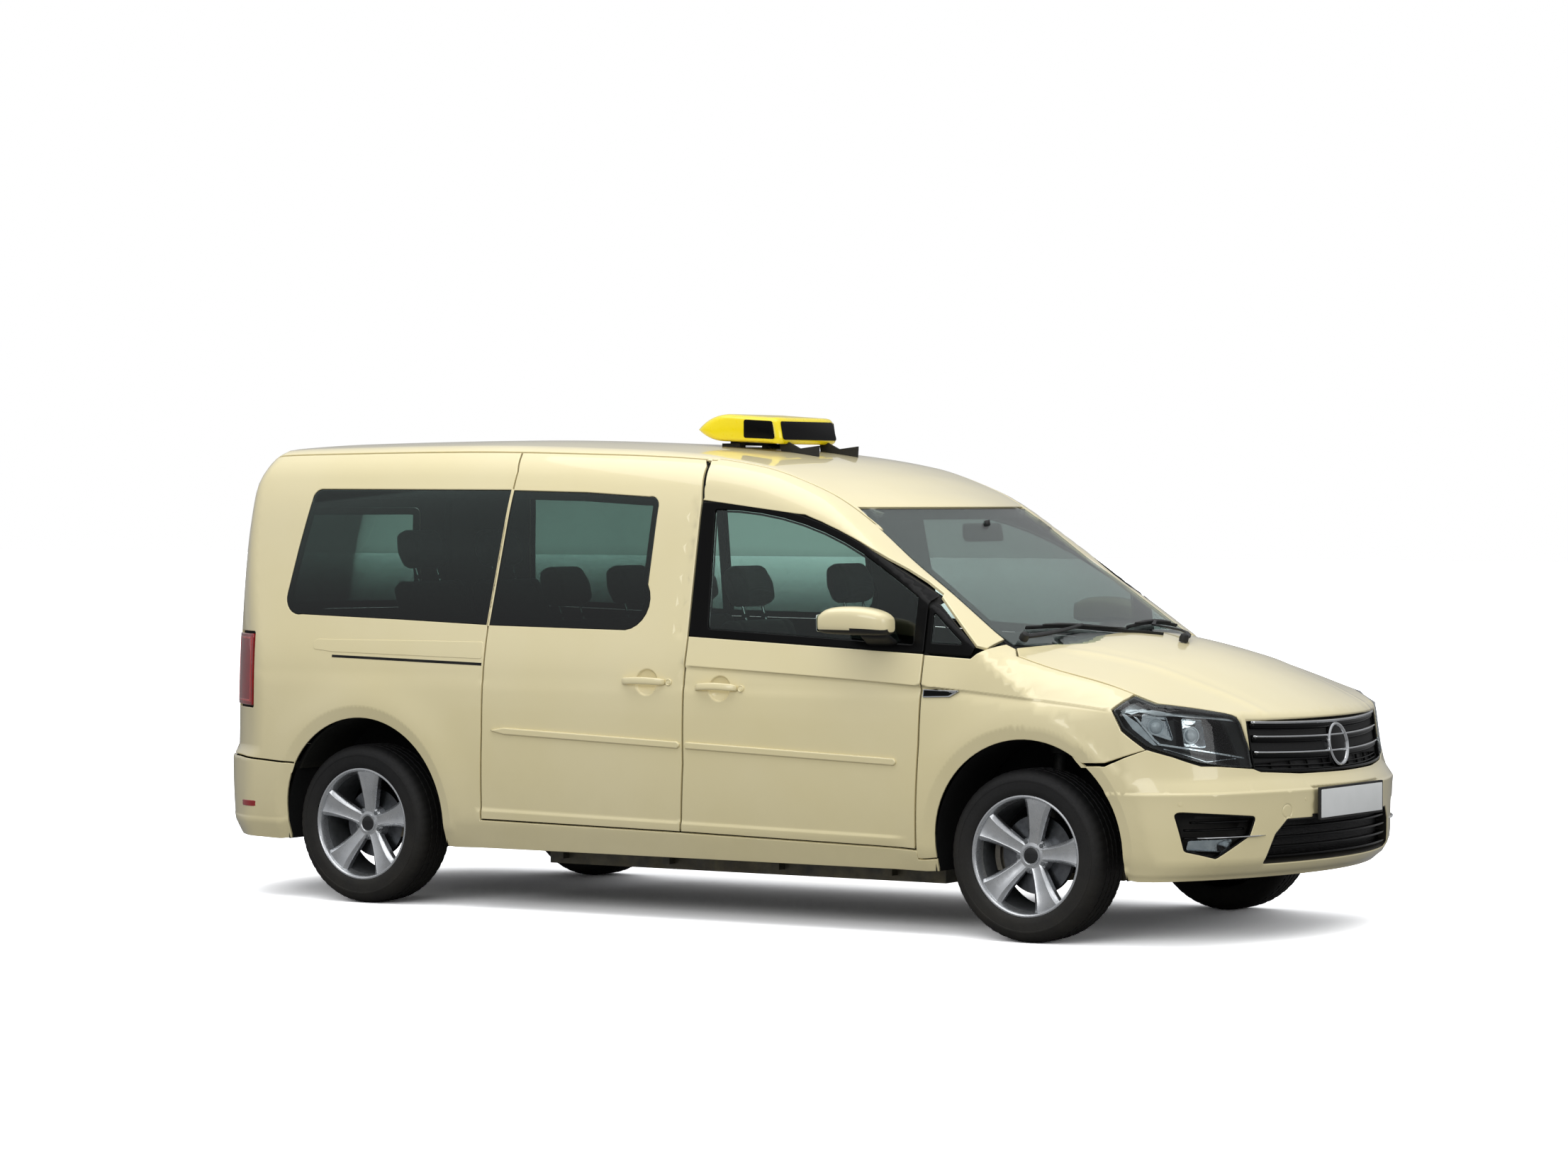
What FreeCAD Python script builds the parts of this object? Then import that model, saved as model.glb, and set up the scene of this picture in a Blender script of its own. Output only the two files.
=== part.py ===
# Taxi cab: a long-wheelbase compact van-based people carrier with a roof sign.
# Millimetres. +X is the car's front, +Y its left, +Z up; the ground is z = 0.
import FreeCAD, Part
import math
import os

V = FreeCAD.Vector
os.makedirs("parts", exist_ok=True)

# ---- driving dimensions ------------------------------------------------------------------
half_width = 897.0         # widest point of the doors
wheelbase = 3006.0
front_axle_x = 1560.0
front_overhang = 879.0     # front axle to the bumper; 4878 long in all
rear_overhang = 993.0
front_track = 1542.0
rear_track = 1534.0
tyre_radius = 313.0
tyre_width = 205.0
rim_radius = 220.0
sill_z = 240.0             # underside of the body
wall = 48.0                # doors and side walls, outer skin to inner trim
roof_wall = 26.0           # roof panel with its lining
glass = 5.0                # every pane
glass_sink = 4.0           # panes lie this far under the skin
gap = 6.0                  # shut line round a fixed panel
swing_gap = 7.0            # shut line round a hinged door or lid
lamp_joint = 10.0          # the bonnet's lip moves forwards over the lamps as it lifts
edge_wall = 12.0           # a hinged panel is only this thick along its edge
edge_width = 12.0          # width of that thin edge
hinge_play = 0.3           # running clearance at a hinge pin
arch_radius = 384.0        # wheel openings
plate_width = 520.0
plate_height = 110.0
tow_thread = 18.0          # towing eye thread

rear_axle_x = front_axle_x - wheelbase
axle_z = tyre_radius
nose_x = front_axle_x + front_overhang
tail_x = rear_axle_x - rear_overhang
widest_z = 690.0           # height of the widest point
shoulder_y = half_width - 11.0
roof_rail_y = 640.0

# windscreen: a pane bent across the car, on a straight slope
screen_top_x = 799.0
screen_top_z = 1573.0
screen_slope = 0.684       # rise over run
screen_radius = 3450.0     # of the bent pane, across its slope


# ---- small helpers -----------------------------------------------------------------------
def line(a, b):
    return Part.makeLine(a, b)


def arc(a, middle, b):
    return Part.Arc(a, middle, b).toShape()


def box(x0, x1, y0, y1, z0, z1):
    return Part.makeBox(x1 - x0, y1 - y0, z1 - z0, V(x0, y0, z0))


def cylinder(radius, height, base, axis):
    return Part.makeCylinder(radius, height, V(*base), V(*axis))


def rod(radius, a, b):
    a, b = V(*a), V(*b)
    return Part.makeCylinder(radius, (b - a).Length, a, b - a)


def tube(outer, inner, height, base, axis):
    return cylinder(outer, height, base, axis).cut(cylinder(inner, height, base, axis))


def fuse(shapes):
    first = shapes[0]
    if len(shapes) > 1:
        first = first.multiFuse(shapes[1:]).removeSplitter()
    return first


def together(shapes):
    """Several solids that stay apart, as one compound."""
    return Part.makeCompound([solid for shape in shapes for solid in shape.Solids])


def mirrored(shape):
    return shape.mirror(V(0, 0, 0), V(0, 1, 0))


def turned(shape, base, axis, degrees):
    copy = shape.copy()
    copy.rotate(V(*base), V(*axis), degrees)
    return copy


def biggest(shape):
    return max(shape.Solids, key=lambda solid: solid.Volume)


def outline(points, place):
    """A closed face. A pair of numbers is a corner; a pair of pairs is an arc's middle and end."""
    edges = []
    start = last = points[0]
    for item in points[1:] + [start]:
        if isinstance(item[0], tuple):
            edges.append(arc(place(*last), place(*item[0]), place(*item[1])))
            last = item[1]
        elif item != last:
            edges.append(line(place(*last), place(*item)))
            last = item
    return Part.Face(Part.Wire(edges))


def side_prism(points, y0, y1):
    """An outline drawn in side view (x, z), from y0 to y1."""
    return outline(points, lambda x, z: V(x, y0, z)).extrude(V(0, y1 - y0, 0))


def plan_face(points, z):
    return outline(points, lambda x, y: V(x, y, z))


def plan_prism(points, z0, z1):
    """An outline drawn from above (x, y), from z0 to z1."""
    return plan_face(points, z0).extrude(V(0, 0, z1 - z0))


def end_prism(points, x0, x1):
    """An outline drawn from the front (y, z), from x0 to x1."""
    return outline(points, lambda y, z: V(x0, y, z)).extrude(V(x1 - x0, 0, 0))


# The outlines are drawn for these places of the rear axle and the nose, and move with the real ones.
drawn_rear_axle_x = -1446.0
drawn_nose_x = 2439.0
kick_x = -830.0            # the floor steps up here
quarter_x = -870.0         # the tail part of an outline lies behind this
nose_part_x = 1900.0       # and its nose part ahead of this
past = 3600.0              # further than either end


def placed(x):
    """Where an outline's x lies when the rear axle or the nose has moved."""
    if x < quarter_x:
        return x + rear_axle_x - drawn_rear_axle_x
    if x > nose_part_x:
        return x + nose_x - drawn_nose_x
    return x


def drawn(points):
    """A side or plan outline with every x placed."""
    out = []
    for item in points:
        if isinstance(item[0], tuple):
            out.append(tuple((placed(x), z) for x, z in item))
        else:
            out.append((placed(item[0]), item[1]))
    return out


def stations(rows):
    return [(placed(row[0]), *row[1:]) for row in rows]


# ---- the body's outer form ---------------------------------------------------------------
# cab stations: x, roof centre height, rail height, rail half-width, height where the rail turns
CAB = stations([
    (-2460, 1785, 1753, 610, 1610),
    (-1900, 1822, 1790, 635, 1650),
    (-1100, 1831, 1799, 640, 1650),
    (-400, 1812, 1782, 640, 1645),
    (0, 1788, 1760, 640, 1632),
    (300, 1748, 1718, 640, 1604),
    (520, 1692, 1650, 640, 1562),
    (720, 1612, 1558, 642, 1492),
    (1000, 1490, 1352, 668, 1332),
    (1520, 1180, 1040, 770, 1000),
])
# front stations: x, shoulder height, wing turn (y, z), bonnet edge (y, z), bonnet centre height
FRONT = stations([
    (1340, 905, 852, 985, 775, 1058, 1108),
    (1586, 880, 848, 940, 772, 995, 1094),
    (1848, 858, 842, 903, 780, 940, 1040),
    (2059, 842, 838, 862, 788, 872, 967),
    (2250, 760, 800, 790, 700, 812, 880),
    (2460, 640, 760, 690, 600, 716, 765),
])
# plan levels: height, how far the nose and the tail lie behind the bumpers' furthest points
LEVELS = [
    (sill_z, 74, 54),
    (320, 10, 10),
    (548, 0, 0),
    (600, 30, 32),
    (800, 66, 36),
    (1150, 110, 54),
    (1620, 200, 122),
    (1850, 300, 290),
]
side_low_y = 866.0         # half-width at the sill joint
side_low_z = 318.0
under_y = 836.0            # half-width at the underside
tumblehome = 0.219         # how far the glass leans in, per unit of height
shoulder_z = 985.0


def side_y(z):
    """Half-width of the leaning side above the shoulder."""
    return shoulder_y - 2 - (z - shoulder_z) * tumblehome


def across(x, points, crown_z, rounded):
    """A closed section across the car: left-hand (y, z) points from the roof edge outwards, and a crown."""
    left = [V(x, y, z) for y, z in points]
    right = [V(x, -y, z) for y, z in reversed(points)]
    centre = V(x, 0, crown_z)
    edges = [line(a, b) for a, b in zip(left, left[1:])]
    edges.append(line(left[-1], right[0]))
    edges += [line(a, b) for a, b in zip(right, right[1:])]
    if rounded:
        edges.append(arc(right[-1], centre, left[0]))
    else:
        edges += [line(right[-1], centre), line(centre, left[0])]
    return Part.Wire(edges)


def beyond(a, b, y):
    """The height at half-width y of the straight line from a through b."""
    return b[1] + (b[1] - a[1]) * (y - b[0]) / (b[0] - a[0])


def roof_form(side_in=0.0, top_in=0.0, rounded=True):
    """Everything under the roof: a crown between two rails, each turning down to meet the sides."""
    wires = []
    for x, crown, rail_z, rail_y, turn_z in CAB:
        turn = (side_y(turn_z) - side_in, turn_z)
        rail = (rail_y - side_in * 0.5, rail_z - top_in)
        half_way = (turn[0] * 0.62 + rail[0] * 0.38, turn_z * 0.26 + rail[1] * 0.74)
        foot = (1000.0, beyond(half_way, turn, 1000.0))
        wires.append(across(x, [rail, half_way, foot, (1000.0, 100.0)], crown - top_in, rounded))
    return Part.makeLoft(wires, True, True)


def bonnet_form(side_in=0.0, top_in=0.0, rounded=True):
    """Everything under the bonnet and wing tops."""
    wires = []
    for x, shoulder, turn_y, turn_z, edge_y, edge_z, crown in FRONT:
        edge = (edge_y - side_in * 0.5, edge_z - top_in)
        turn = (turn_y - side_in, turn_z - top_in * 0.5)
        foot = (1000.0, beyond(turn, (shoulder_y - side_in, shoulder), 1000.0))
        wires.append(across(x, [edge, turn, foot, (1000.0, 100.0)], crown - top_in, rounded))
    return Part.makeLoft(wires, True, True)


def side_form(side_in=0.0, bottom_in=0.0, rounded=True):
    """Everything between the two sides: an arched lower flank and a straight leaning upper one."""
    top = 1900.0
    under = (under_y - side_in, sill_z + bottom_in)
    low = (side_low_y - side_in, side_low_z)
    mid = (half_width - side_in, widest_z)
    high = (shoulder_y - 2 - side_in, shoulder_z)
    flank = [(mid, high)] if rounded else [mid, high]
    left_mid, left_low = (-mid[0], mid[1]), (-low[0], low[1])
    back = [(left_mid, left_low)] if rounded else [left_mid, left_low]
    roof = (side_y(top) - side_in, top)
    points = [under, low] + flank + [roof, (-roof[0], top), (-high[0], high[1])]
    points += back + [(-under[0], under[1])]
    return end_prism(points, tail_x - 60, nose_x + 60)


def plan_wire(z, nose, tail, rounded):
    """The body seen from above at one height: round nose and tail, straight sides."""
    side = half_width + 14
    nose_corner = [(nose - 139, 640), (nose - 226, 785), (nose - 439, side)]
    tail_corner = [(tail + 489, side), (tail + 295, 785), (tail + 150, 600)]
    left = [V(x, y, z) for x, y in nose_corner + tail_corner]
    right = [V(p.x, -p.y, z) for p in reversed(left)]
    back, front = V(tail, 0, z), V(nose, 0, z)
    if rounded:
        edges = [arc(*left[:3]), line(left[2], left[3]), arc(*left[3:]), arc(left[5], back, right[0])]
        edges += [arc(*right[:3]), line(right[2], right[3]), arc(*right[3:]), arc(right[5], front, left[0])]
        return Part.Wire(edges)
    return Part.makePolygon(left + [back] + right + [front, left[0]])


def ends_form(end_in=0.0, rounded=True):
    wires = []
    for z, nose, tail in LEVELS:
        wires.append(plan_wire(z, nose_x - nose - end_in, tail_x + tail + end_in, rounded))
    return Part.makeLoft(wires, True, True)


def behind_screen(inwards):
    """Everything behind the windscreen's surface, moved inwards along its normal."""
    pitch = math.atan(screen_slope)
    up = V(-math.cos(pitch), 0, math.sin(pitch))
    into = V(-math.sin(pitch), 0, -math.cos(pitch))
    centre = V(screen_top_x, 0, screen_top_z) + into * screen_radius
    return Part.makeCylinder(screen_radius - inwards, 5400, centre - up * 2100, up)


def form(side_in=0.0, top_in=0.0, end_in=0.0, screen_in=0.0, rounded=True):
    cab = roof_form(side_in, top_in, rounded).common(behind_screen(screen_in))
    body = cab.fuse(bonnet_form(side_in, top_in, rounded))
    return body.common(side_form(side_in, top_in, rounded)).common(ends_form(end_in, rounded))


outer = form()
inner = form(wall, roof_wall, wall, wall, False)
behind_edge = form(edge_wall, edge_wall, edge_wall, edge_wall)
shell = outer.cut(inner)

# ---- shut lines and openings, drawn in side view (x, z) ----------------------------------
door_front_x = 1137.0
FRONT_DOOR = [
    (98, 1583), ((560, 1530), (948, 1361)), (door_front_x, 1243), (door_front_x, 940), (1130, 700),
    (1106, 324),
    (83, 345), (106, 600), (108, 1078),
]
FRONT_WINDOW = [
    (158, 1556), ((560, 1502), (930, 1338)), (1092, 1236), (1092, 1064), (190, 1108),
]
QUARTER_PANE = [(1158, 1200), (1250, 1122), (1318, 1062), (1160, 1068)]
SLIDING_DOOR = [
    (-815, 1772), (-792, 1700), (-794, 1628), (-826, 1108), (-828, 695), (-845, 358), (83, 345),
    (106, 600), (108, 1078), (98, 1583), (72, 1722), (48, 1745),
]
SLIDING_WINDOW = [
    (-770, 1628), (-445, 1620), (-150, 1603), ((-110, 1590), (-102, 1560)), (-105, 1270),
    ((-118, 1130), (-187, 1097)), (-802, 1106),
]
REAR_WINDOW = drawn([
    (-826, 1628), (-858, 1107), (-1265, 1122), (-1752, 1136), ((-1822, 1160), (-1838, 1220)),
    (-1812, 1399), (-1778, 1590), ((-1765, 1622), (-1730, 1630)),
])
WING = drawn([
    (door_front_x + swing_gap, 290), (door_front_x + swing_gap, 1028), (1338, 1018), (1376, 1047),
    (1420, 1120),
    (2460, 1120), (2460, 290),
])
LAMP = drawn([
    (1926, 850), (1975, 905), (2300, 905), (2440, 800), (2440, 640), (2204, 656), (2051, 716), (1970, 780),
])
BUMPER_LINE = drawn([
    (1620, 100), (1620, 640), (1905, 655), (2051, 716), (2204, 656), (2345, 640), (2500, 640), (2500, 100),
])
REAR_BUMPER_LINE = drawn([(-1640, 100), (-1640, 540), (-1790, 545), (-2090, 562), (-2600, 562), (-2600, 100)])

# bonnet from above (x, y): rear edge, side edge, lamp edge, front edge
bonnet_z = 796.0
BONNET = drawn([
    (1432, -700), ((1545, 0), (1432, 700)), (1470, 752), ((1760, 782), (2059, 788)), (2290, 535),
    ((2600, 0), (2290, -535)), (2059, -788), ((1760, -782), (1470, -752)),
])
lamp_y = 528.0             # half-width of the grille between the lamps
grille_low_z = 612.0
tail_lamp_z = (765.0, 1059.0)
tail_lamp_y = 712.0
gate_y = 700.0             # half-width of the tailgate at its waist
GATE = [
    (-gate_y, 568), (-gate_y, 1100), (-634, 1640), (-600, 1860), (600, 1860), (634, 1640), (gate_y, 1100),
    (gate_y, 568),
]
GATE_WINDOW = [(-590, 1130), (-535, 1560), (535, 1560), (590, 1130)]
gate_top_x = placed(-2080.0)
roof_joint = 9.0           # shut line between roof and tailgate
SCREEN = [
    (-616, 1558), (616, 1558), (640, 1500), (700, 1112), (690, 900), (-690, 900), (-700, 1112), (-640, 1500),
]


far = -1010.0                    # beyond the right-hand side, in y


def face_in_side_view(points, y):
    return outline(points, lambda x, z: V(x, y, z))


def grown(points, amount, y0, y1):
    """A side-view outline moved outwards by amount, as a prism."""
    return face_in_side_view(points, y0).makeOffset2D(amount).extrude(V(0, y1 - y0, 0))


def arch_space(axle_x, radius, y0, y1):
    """The round space about a wheel, open downwards."""
    low = box(axle_x - radius, axle_x + radius, y0, y1, 0, axle_z + 30)
    return cylinder(radius, y1 - y0, (axle_x, y0, axle_z + 36), (0, 1, 0)).fuse(low)


def both(shape):
    """A right-hand piece and its mirror image."""
    return together([shape, mirrored(shape)])


front_arch_x = front_axle_x + 12
rear_arch_x = rear_axle_x + 20
arches = arch_space(front_arch_x, arch_radius, far, -520)
arches = arches.fuse(arch_space(rear_arch_x, arch_radius, far, -560))
arches_both = both(arches)
floor_space = box(tail_x + 60, nose_x - 130, -under_y + wall, under_y - wall, 200, sill_z + 40)
bonnet_space = plan_prism(BONNET, bonnet_z + gap, 1250)
bonnet_face = outline(BONNET, lambda x, y: V(x, y, bonnet_z))
bonnet_grown = bonnet_face.makeOffset2D(swing_gap).extrude(V(0, 0, 460))
bonnet_lifted = bonnet_face.makeOffset2D(lamp_joint).extrude(V(0, 0, 460))
bonnet_core = bonnet_face.makeOffset2D(-edge_width).extrude(V(0, 0, 460))
screen_space = end_prism(SCREEN, 690, 1760).cut(box(600, 1700, -900, 900, 900, 1010))
gate_face = outline(GATE, lambda y, z: V(tail_x - 40, y, z))
gate_space = gate_face.extrude(V(440, 0, 0)).cut(box(gate_top_x, gate_top_x + 180, -900, 900, 1500, 1900))
gate_grown = gate_face.makeOffset2D(swing_gap).extrude(V(440, 0, 0))
gate_grown = gate_grown.cut(box(gate_top_x + roof_joint, gate_top_x + 180, -900, 900, 1500, 1950))
lamp_opening = both(side_prism(LAMP, -1000, -lamp_y))
lamp_space = lamp_opening.cut(bonnet_lifted)
bumper_space = side_prism(BUMPER_LINE, -1000, 1000)
bumper_space = bumper_space.cut(box(placed(2000), past, -lamp_y, lamp_y, grille_low_z, 700))
rear_bumper_space = side_prism(REAR_BUMPER_LINE, -1000, 1000)
grille_space = box(placed(2100), past, -lamp_y, lamp_y, grille_low_z, bonnet_z)
tail_lamp_space = both(box(-past, placed(-1985), -1000, -tail_lamp_y, *tail_lamp_z))
roof_space = box(gate_top_x + roof_joint, 900, -roof_rail_y + 2, roof_rail_y - 2, 1520, 1900)
skin = shell.cut(floor_space)
right_skin = skin.common(box(-past, past, far, 0, 100, 2000))
pane_layer = side_form(glass_sink).cut(side_form(glass_sink + glass))
nodes = {}

# ---- front end ---------------------------------------------------------------------------
bonnet_axis = (1640.0, 965.0)       # x, z of the bonnet's hinge line
bonnet_lug_y = 590.0
bonnet_pin = 6.0                    # radius
front_end = skin.common(box(1380, past, -1000, 1000, 100, 1250))
bonnet = biggest(front_end.common(bonnet_space).cut(behind_screen(-20)))
bonnet = bonnet.cut(behind_edge.cut(bonnet_core))
lug_outline = [(1626, 952), (1654, 952), (1664, 1012), (1616, 1012)]
lug = side_prism(lug_outline, -bonnet_lug_y - 6, -bonnet_lug_y + 6)
pin = cylinder(bonnet_pin, 38, (bonnet_axis[0], -bonnet_lug_y - 19, bonnet_axis[1]), (0, 1, 0))
relief = cylinder(24, 44, (bonnet_axis[0], -bonnet_lug_y - 22, bonnet_axis[1]), (0, 1, 0))
nodes["bonnet"] = fuse([biggest(bonnet).cut(both(relief))] + both(fuse([lug, pin])).Solids)

headlights = front_end.common(lamp_space)
headlamp = biggest(headlights.common(box(1500, past, -1000, 0, 500, 1000)))

lower_opening = end_prism(
    [(-412, 452), (412, 452), (470, 400), (520, 292), (-520, 292), (-470, 400)], placed(2150), past)
fog_opening = end_prism([(-560, 468), (-842, 492), (-815, 350), (-720, 322), (-585, 400)], placed(1950), past)
plate_seat = box(nose_x - 8, past, -plate_width / 2 - 12, plate_width / 2 + 12, 436, 562)
plate_bar = box(nose_x - 60, nose_x - 8, -plate_width / 2 - 12, plate_width / 2 + 12, 436, 470)
tow_eye = (-415.0, 480.0)           # y, z of the towing eye's thread
tow_cover = cylinder(22, 500, (placed(2000), *tow_eye), (1, 0, 0))
front_bumper = front_end.common(bumper_space).cut(lamp_opening).cut(both(fog_opening)).cut(lower_opening)
front_bumper = biggest(front_bumper.cut(arches_both)).cut(plate_seat)
# the cover plate round the towing eye's hole is a piece of its own
cover_plate = box(placed(2200), past, tow_eye[0] - 60, tow_eye[0] + 60, tow_eye[1] - 40, tow_eye[1] + 60)
plate_round_eye = biggest(front_bumper.common(cover_plate)).cut(tow_cover)
nodes["front_bumper"] = together([biggest(fuse([front_bumper.cut(cover_plate), plate_bar])), plate_round_eye])
nodes["number_plate"] = box(nose_x - 8, nose_x, -plate_width / 2, plate_width / 2, 444, 444 + plate_height)


def bow(front_x, depth, half, z0, z1):
    """A horizontal bar bent like the nose, with its front at front_x on the centre line."""
    def fall(y):
        return 139.0 * (y / 640.0) ** 2
    back = front_x - depth
    points = [
        (front_x - fall(half), -half), ((front_x, 0), (front_x - fall(half), half)),
        (back - fall(half), half), ((back, 0), (back - fall(half), -half)),
    ]
    return plan_prism(points, z0, z1)


# grille: a frame with three bars, a round blank boss, and the lower slats
grille_front = nose_x - 42
grille_bars = [
    (grille_front, 22, grille_low_z, grille_low_z + 14), (grille_front - 6, 18, 650, 662),
    (grille_front - 14, 18, 694, 706), (grille_front - 22, 18, 738, 750),
    (grille_front - 34, 22, bonnet_z - 16, bonnet_z),
]
grille = [bow(x, depth, lamp_y - 1, z0, z1) for x, depth, z0, z1 in grille_bars]
for y in (-lamp_y + 1, -lamp_y / 2, -6, lamp_y / 2 - 12, lamp_y - 13):
    x = grille_front - 22 - 139.0 * (abs(y) / 640.0) ** 2
    grille.append(box(x - 14, x + 6, y, y + 12, grille_low_z, bonnet_z))
boss = cylinder(78, 26, (grille_front - 34, 0, 698), (1, 0, 0.16))
lower_front = nose_x - 36
slats = ((312, 504), (350, 484), (388, 468), (422, 430))      # height of the underside, half-width
slats = [bow(lower_front, 20, half, z, z + 12) for z, half in slats]
ribs = [box(lower_front - 26 - drop, lower_front - 6 - drop, y - 6, y + 6, 292, 435.7)
        for y, drop in ((-300, 30), (0, 0), (300, 30))]
fog_lamp = box(placed(2215), placed(2240), -742, -628, 346, 440).common(side_form(30)).common(fog_opening)
fog_back = box(placed(2190), placed(2215), -800, -560, 300, 500)
nodes["grille"] = together([fuse(grille + [boss]), fuse(slats + ribs)])
nodes["headlights"] = both(together([headlamp, fuse([fog_lamp, fog_back.common(fog_opening)])]))

wing = right_skin.common(side_prism(WING, far, -500)).cut(bonnet_grown).cut(lamp_opening).cut(bumper_space)
wing = biggest(wing.cut(grille_space).cut(box(1500, past, far, 0, 100, 560)).cut(screen_space).cut(arches))
nodes["front_wings"] = both(wing)

# ---- doors and their glass ---------------------------------------------------------------
door_axis = (door_front_x - 90.0, -879.0)      # x, y of the right-hand hinge line
door_pin = 4.0                                 # radius
hinge_heights = (590.0, 830.0)
pocket_half = 26.0                             # half-height of the pocket round each hinge
door_space = side_prism(FRONT_DOOR, far, -500)
door_core = grown(FRONT_DOOR, -edge_width, far, -500)
front_door = right_skin.common(door_space).cut(side_prism(FRONT_WINDOW, far, -500))
front_door = biggest(front_door.cut(behind_edge.cut(door_core)))
for z in hinge_heights:
    pocket = box(door_axis[0] - 22, door_front_x + 1, -900, -800, z - pocket_half, z + pocket_half)
    front_door = front_door.cut(pocket.common(side_form(4)))
    pin = cylinder(door_pin, 2 * pocket_half + 2, (*door_axis, z - pocket_half - 1), (0, 0, 1))
    front_door = front_door.fuse(pin)
front_pane = pane_layer.common(side_prism(FRONT_WINDOW, far, -500))
sliding = right_skin.common(side_prism(SLIDING_DOOR, far, -500)).cut(roof_space)
front_door_opening = grown(FRONT_DOOR, swing_gap, far, -500)
sliding = biggest(sliding.cut(side_prism(SLIDING_WINDOW, far, -500)).cut(front_door_opening))
fixed_panes = (SLIDING_WINDOW, REAR_WINDOW, QUARTER_PANE)
panes = [pane_layer.common(side_prism(points, far, -500)) for points in fixed_panes]
nodes["sliding_doors"] = both(sliding)
nodes["side_glass"] = both(together(panes))

# ---- side frames, roof and tail ----------------------------------------------------------
frame = right_skin.cut(arches).cut(roof_space).cut(front_door_opening)
frame = frame.cut(side_prism(SLIDING_DOOR, far, -500))
frame = frame.cut(side_prism(WING, far, -500)).cut(bonnet_grown).cut(gate_grown).cut(screen_space)
frame = frame.cut(rear_bumper_space).cut(tail_lamp_space).cut(box(1432, past, far, 0, 100, 1300))
frame = frame.cut(side_prism(REAR_WINDOW, far, -500)).cut(side_prism(QUARTER_PANE, far, -500))


def post(x0, x1, z0, z1, clearance, depth):
    """An upright that follows the inside of the wall, clearance away from it."""
    outside = side_form(wall + clearance, roof_wall, False).common(box(x0, x1, far, 0, z0, z1))
    return outside.cut(side_form(wall + clearance + depth, 0, False))


centre_post = post(52, 150, sill_z + 40, 1610, swing_gap, 50)
post_tie = box(112, 150, -704, -680, 1594, 1610)
hinge_post = post(1145, 1185, sill_z + 60, 939.7, 0, 90)
sill_step = box(kick_x, 1145, -under_y + wall, -under_y + wall + 60, sill_z + 40, sill_z + 62)
frame = fuse([piece for piece in frame.Solids if piece.Volume > 2e5])
behind_doors = box(-past, quarter_x, far, 0, 100, 2000)
nodes["rear_quarters"] = both(biggest(frame.common(behind_doors)))
side_frame = fuse([frame.cut(behind_doors), centre_post, post_tie, hinge_post, sill_step])
arm_y = -775.0             # the hinge arms pass this far in, clear of the door's swing
for z in hinge_heights:
    eye = tube(8, door_pin + hinge_play, 24, (*door_axis, z - 12), (0, 0, 1))
    reach = box(door_axis[0] - 6, door_axis[0] + 5, door_axis[1], arm_y + 12, z - 12, z + 12)
    reach = reach.fuse(box(door_axis[0] - 6, 1150, arm_y, arm_y + 12, z - 12, z + 12))
    reach = reach.cut(cylinder(door_pin + hinge_play, 40, (*door_axis, z - 20), (0, 0, 1)))
    side_frame = side_frame.fuse([eye, reach])
nodes["side_frames"] = both(side_frame)
gate_axis = (gate_top_x - 46.0, 1786.0)        # x, z of the tailgate's hinge line
gate_pin = 4.0                                 # radius
gate_hinge_y = (-250.0, 250.0)
roof = [biggest(skin.common(roof_space).cut(screen_space).cut(gate_grown))]
for y in gate_hinge_y:
    arm = box(gate_axis[0], gate_top_x + 25, y - 8, y + 8, gate_axis[1] - 7, gate_axis[1] + 7)
    arm = arm.fuse(cylinder(8, 16, (gate_axis[0], y - 8, gate_axis[1]), (0, 1, 0)))
    roof.append(arm.cut(cylinder(gate_pin + hinge_play, 30, (gate_axis[0], y - 15, gate_axis[1]), (0, 1, 0))))
nodes["roof"] = fuse(roof)
cowl_edge = 32.0           # the glass ends this far behind the bonnet
glass_reach = plan_prism([
    (600, -760), (1432 - cowl_edge, -760), (1432 - cowl_edge, -700),
    ((1545 - cowl_edge, 0), (1432 - cowl_edge, 700)), (1432 - cowl_edge, 760), (600, 760),
], 900, 1700)
pane = behind_screen(glass_sink).cut(behind_screen(glass_sink + glass))
nodes["windscreen"] = biggest(pane.common(end_prism(SCREEN, 690, 1760)).common(glass_reach))

gate = biggest(skin.common(gate_space)).cut(end_prism(GATE_WINDOW, tail_x, gate_top_x + 80))
for y in gate_hinge_y:
    gate = gate.cut(box(gate_axis[0] - 14, gate_top_x + 10, y - 14, y + 14, 1700, 1900))
    gate = gate.fuse(cylinder(gate_pin, 44, (gate_axis[0], y - 22, gate_axis[1]), (0, 1, 0)))
nodes["tailgate"] = gate
pane_low, pane_high = LEVELS[5], LEVELS[6]           # the tail is straight between these heights
slant = V(pane_high[2] - pane_low[2], 0, pane_high[0] - pane_low[0]).normalize()
into = V(slant.z, 0, -slant.x)
pane_radius = 1286.0
pane_foot = V(tail_x + pane_low[2] + glass_sink, 0, pane_low[0]) + into * pane_radius - slant * 300
gate_pane = Part.makeCylinder(pane_radius, 1200, pane_foot, slant)
gate_pane = gate_pane.cut(Part.makeCylinder(pane_radius - glass, 1200, pane_foot, slant))
gate_pane = gate_pane.common(end_prism(GATE_WINDOW, tail_x, gate_top_x))
nodes["tailgate_glass"] = biggest(gate_pane)
nodes["rear_bumper"] = biggest(skin.common(rear_bumper_space).cut(arches_both))
nodes["tail_lamps"] = both(biggest(right_skin.common(tail_lamp_space)))

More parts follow.
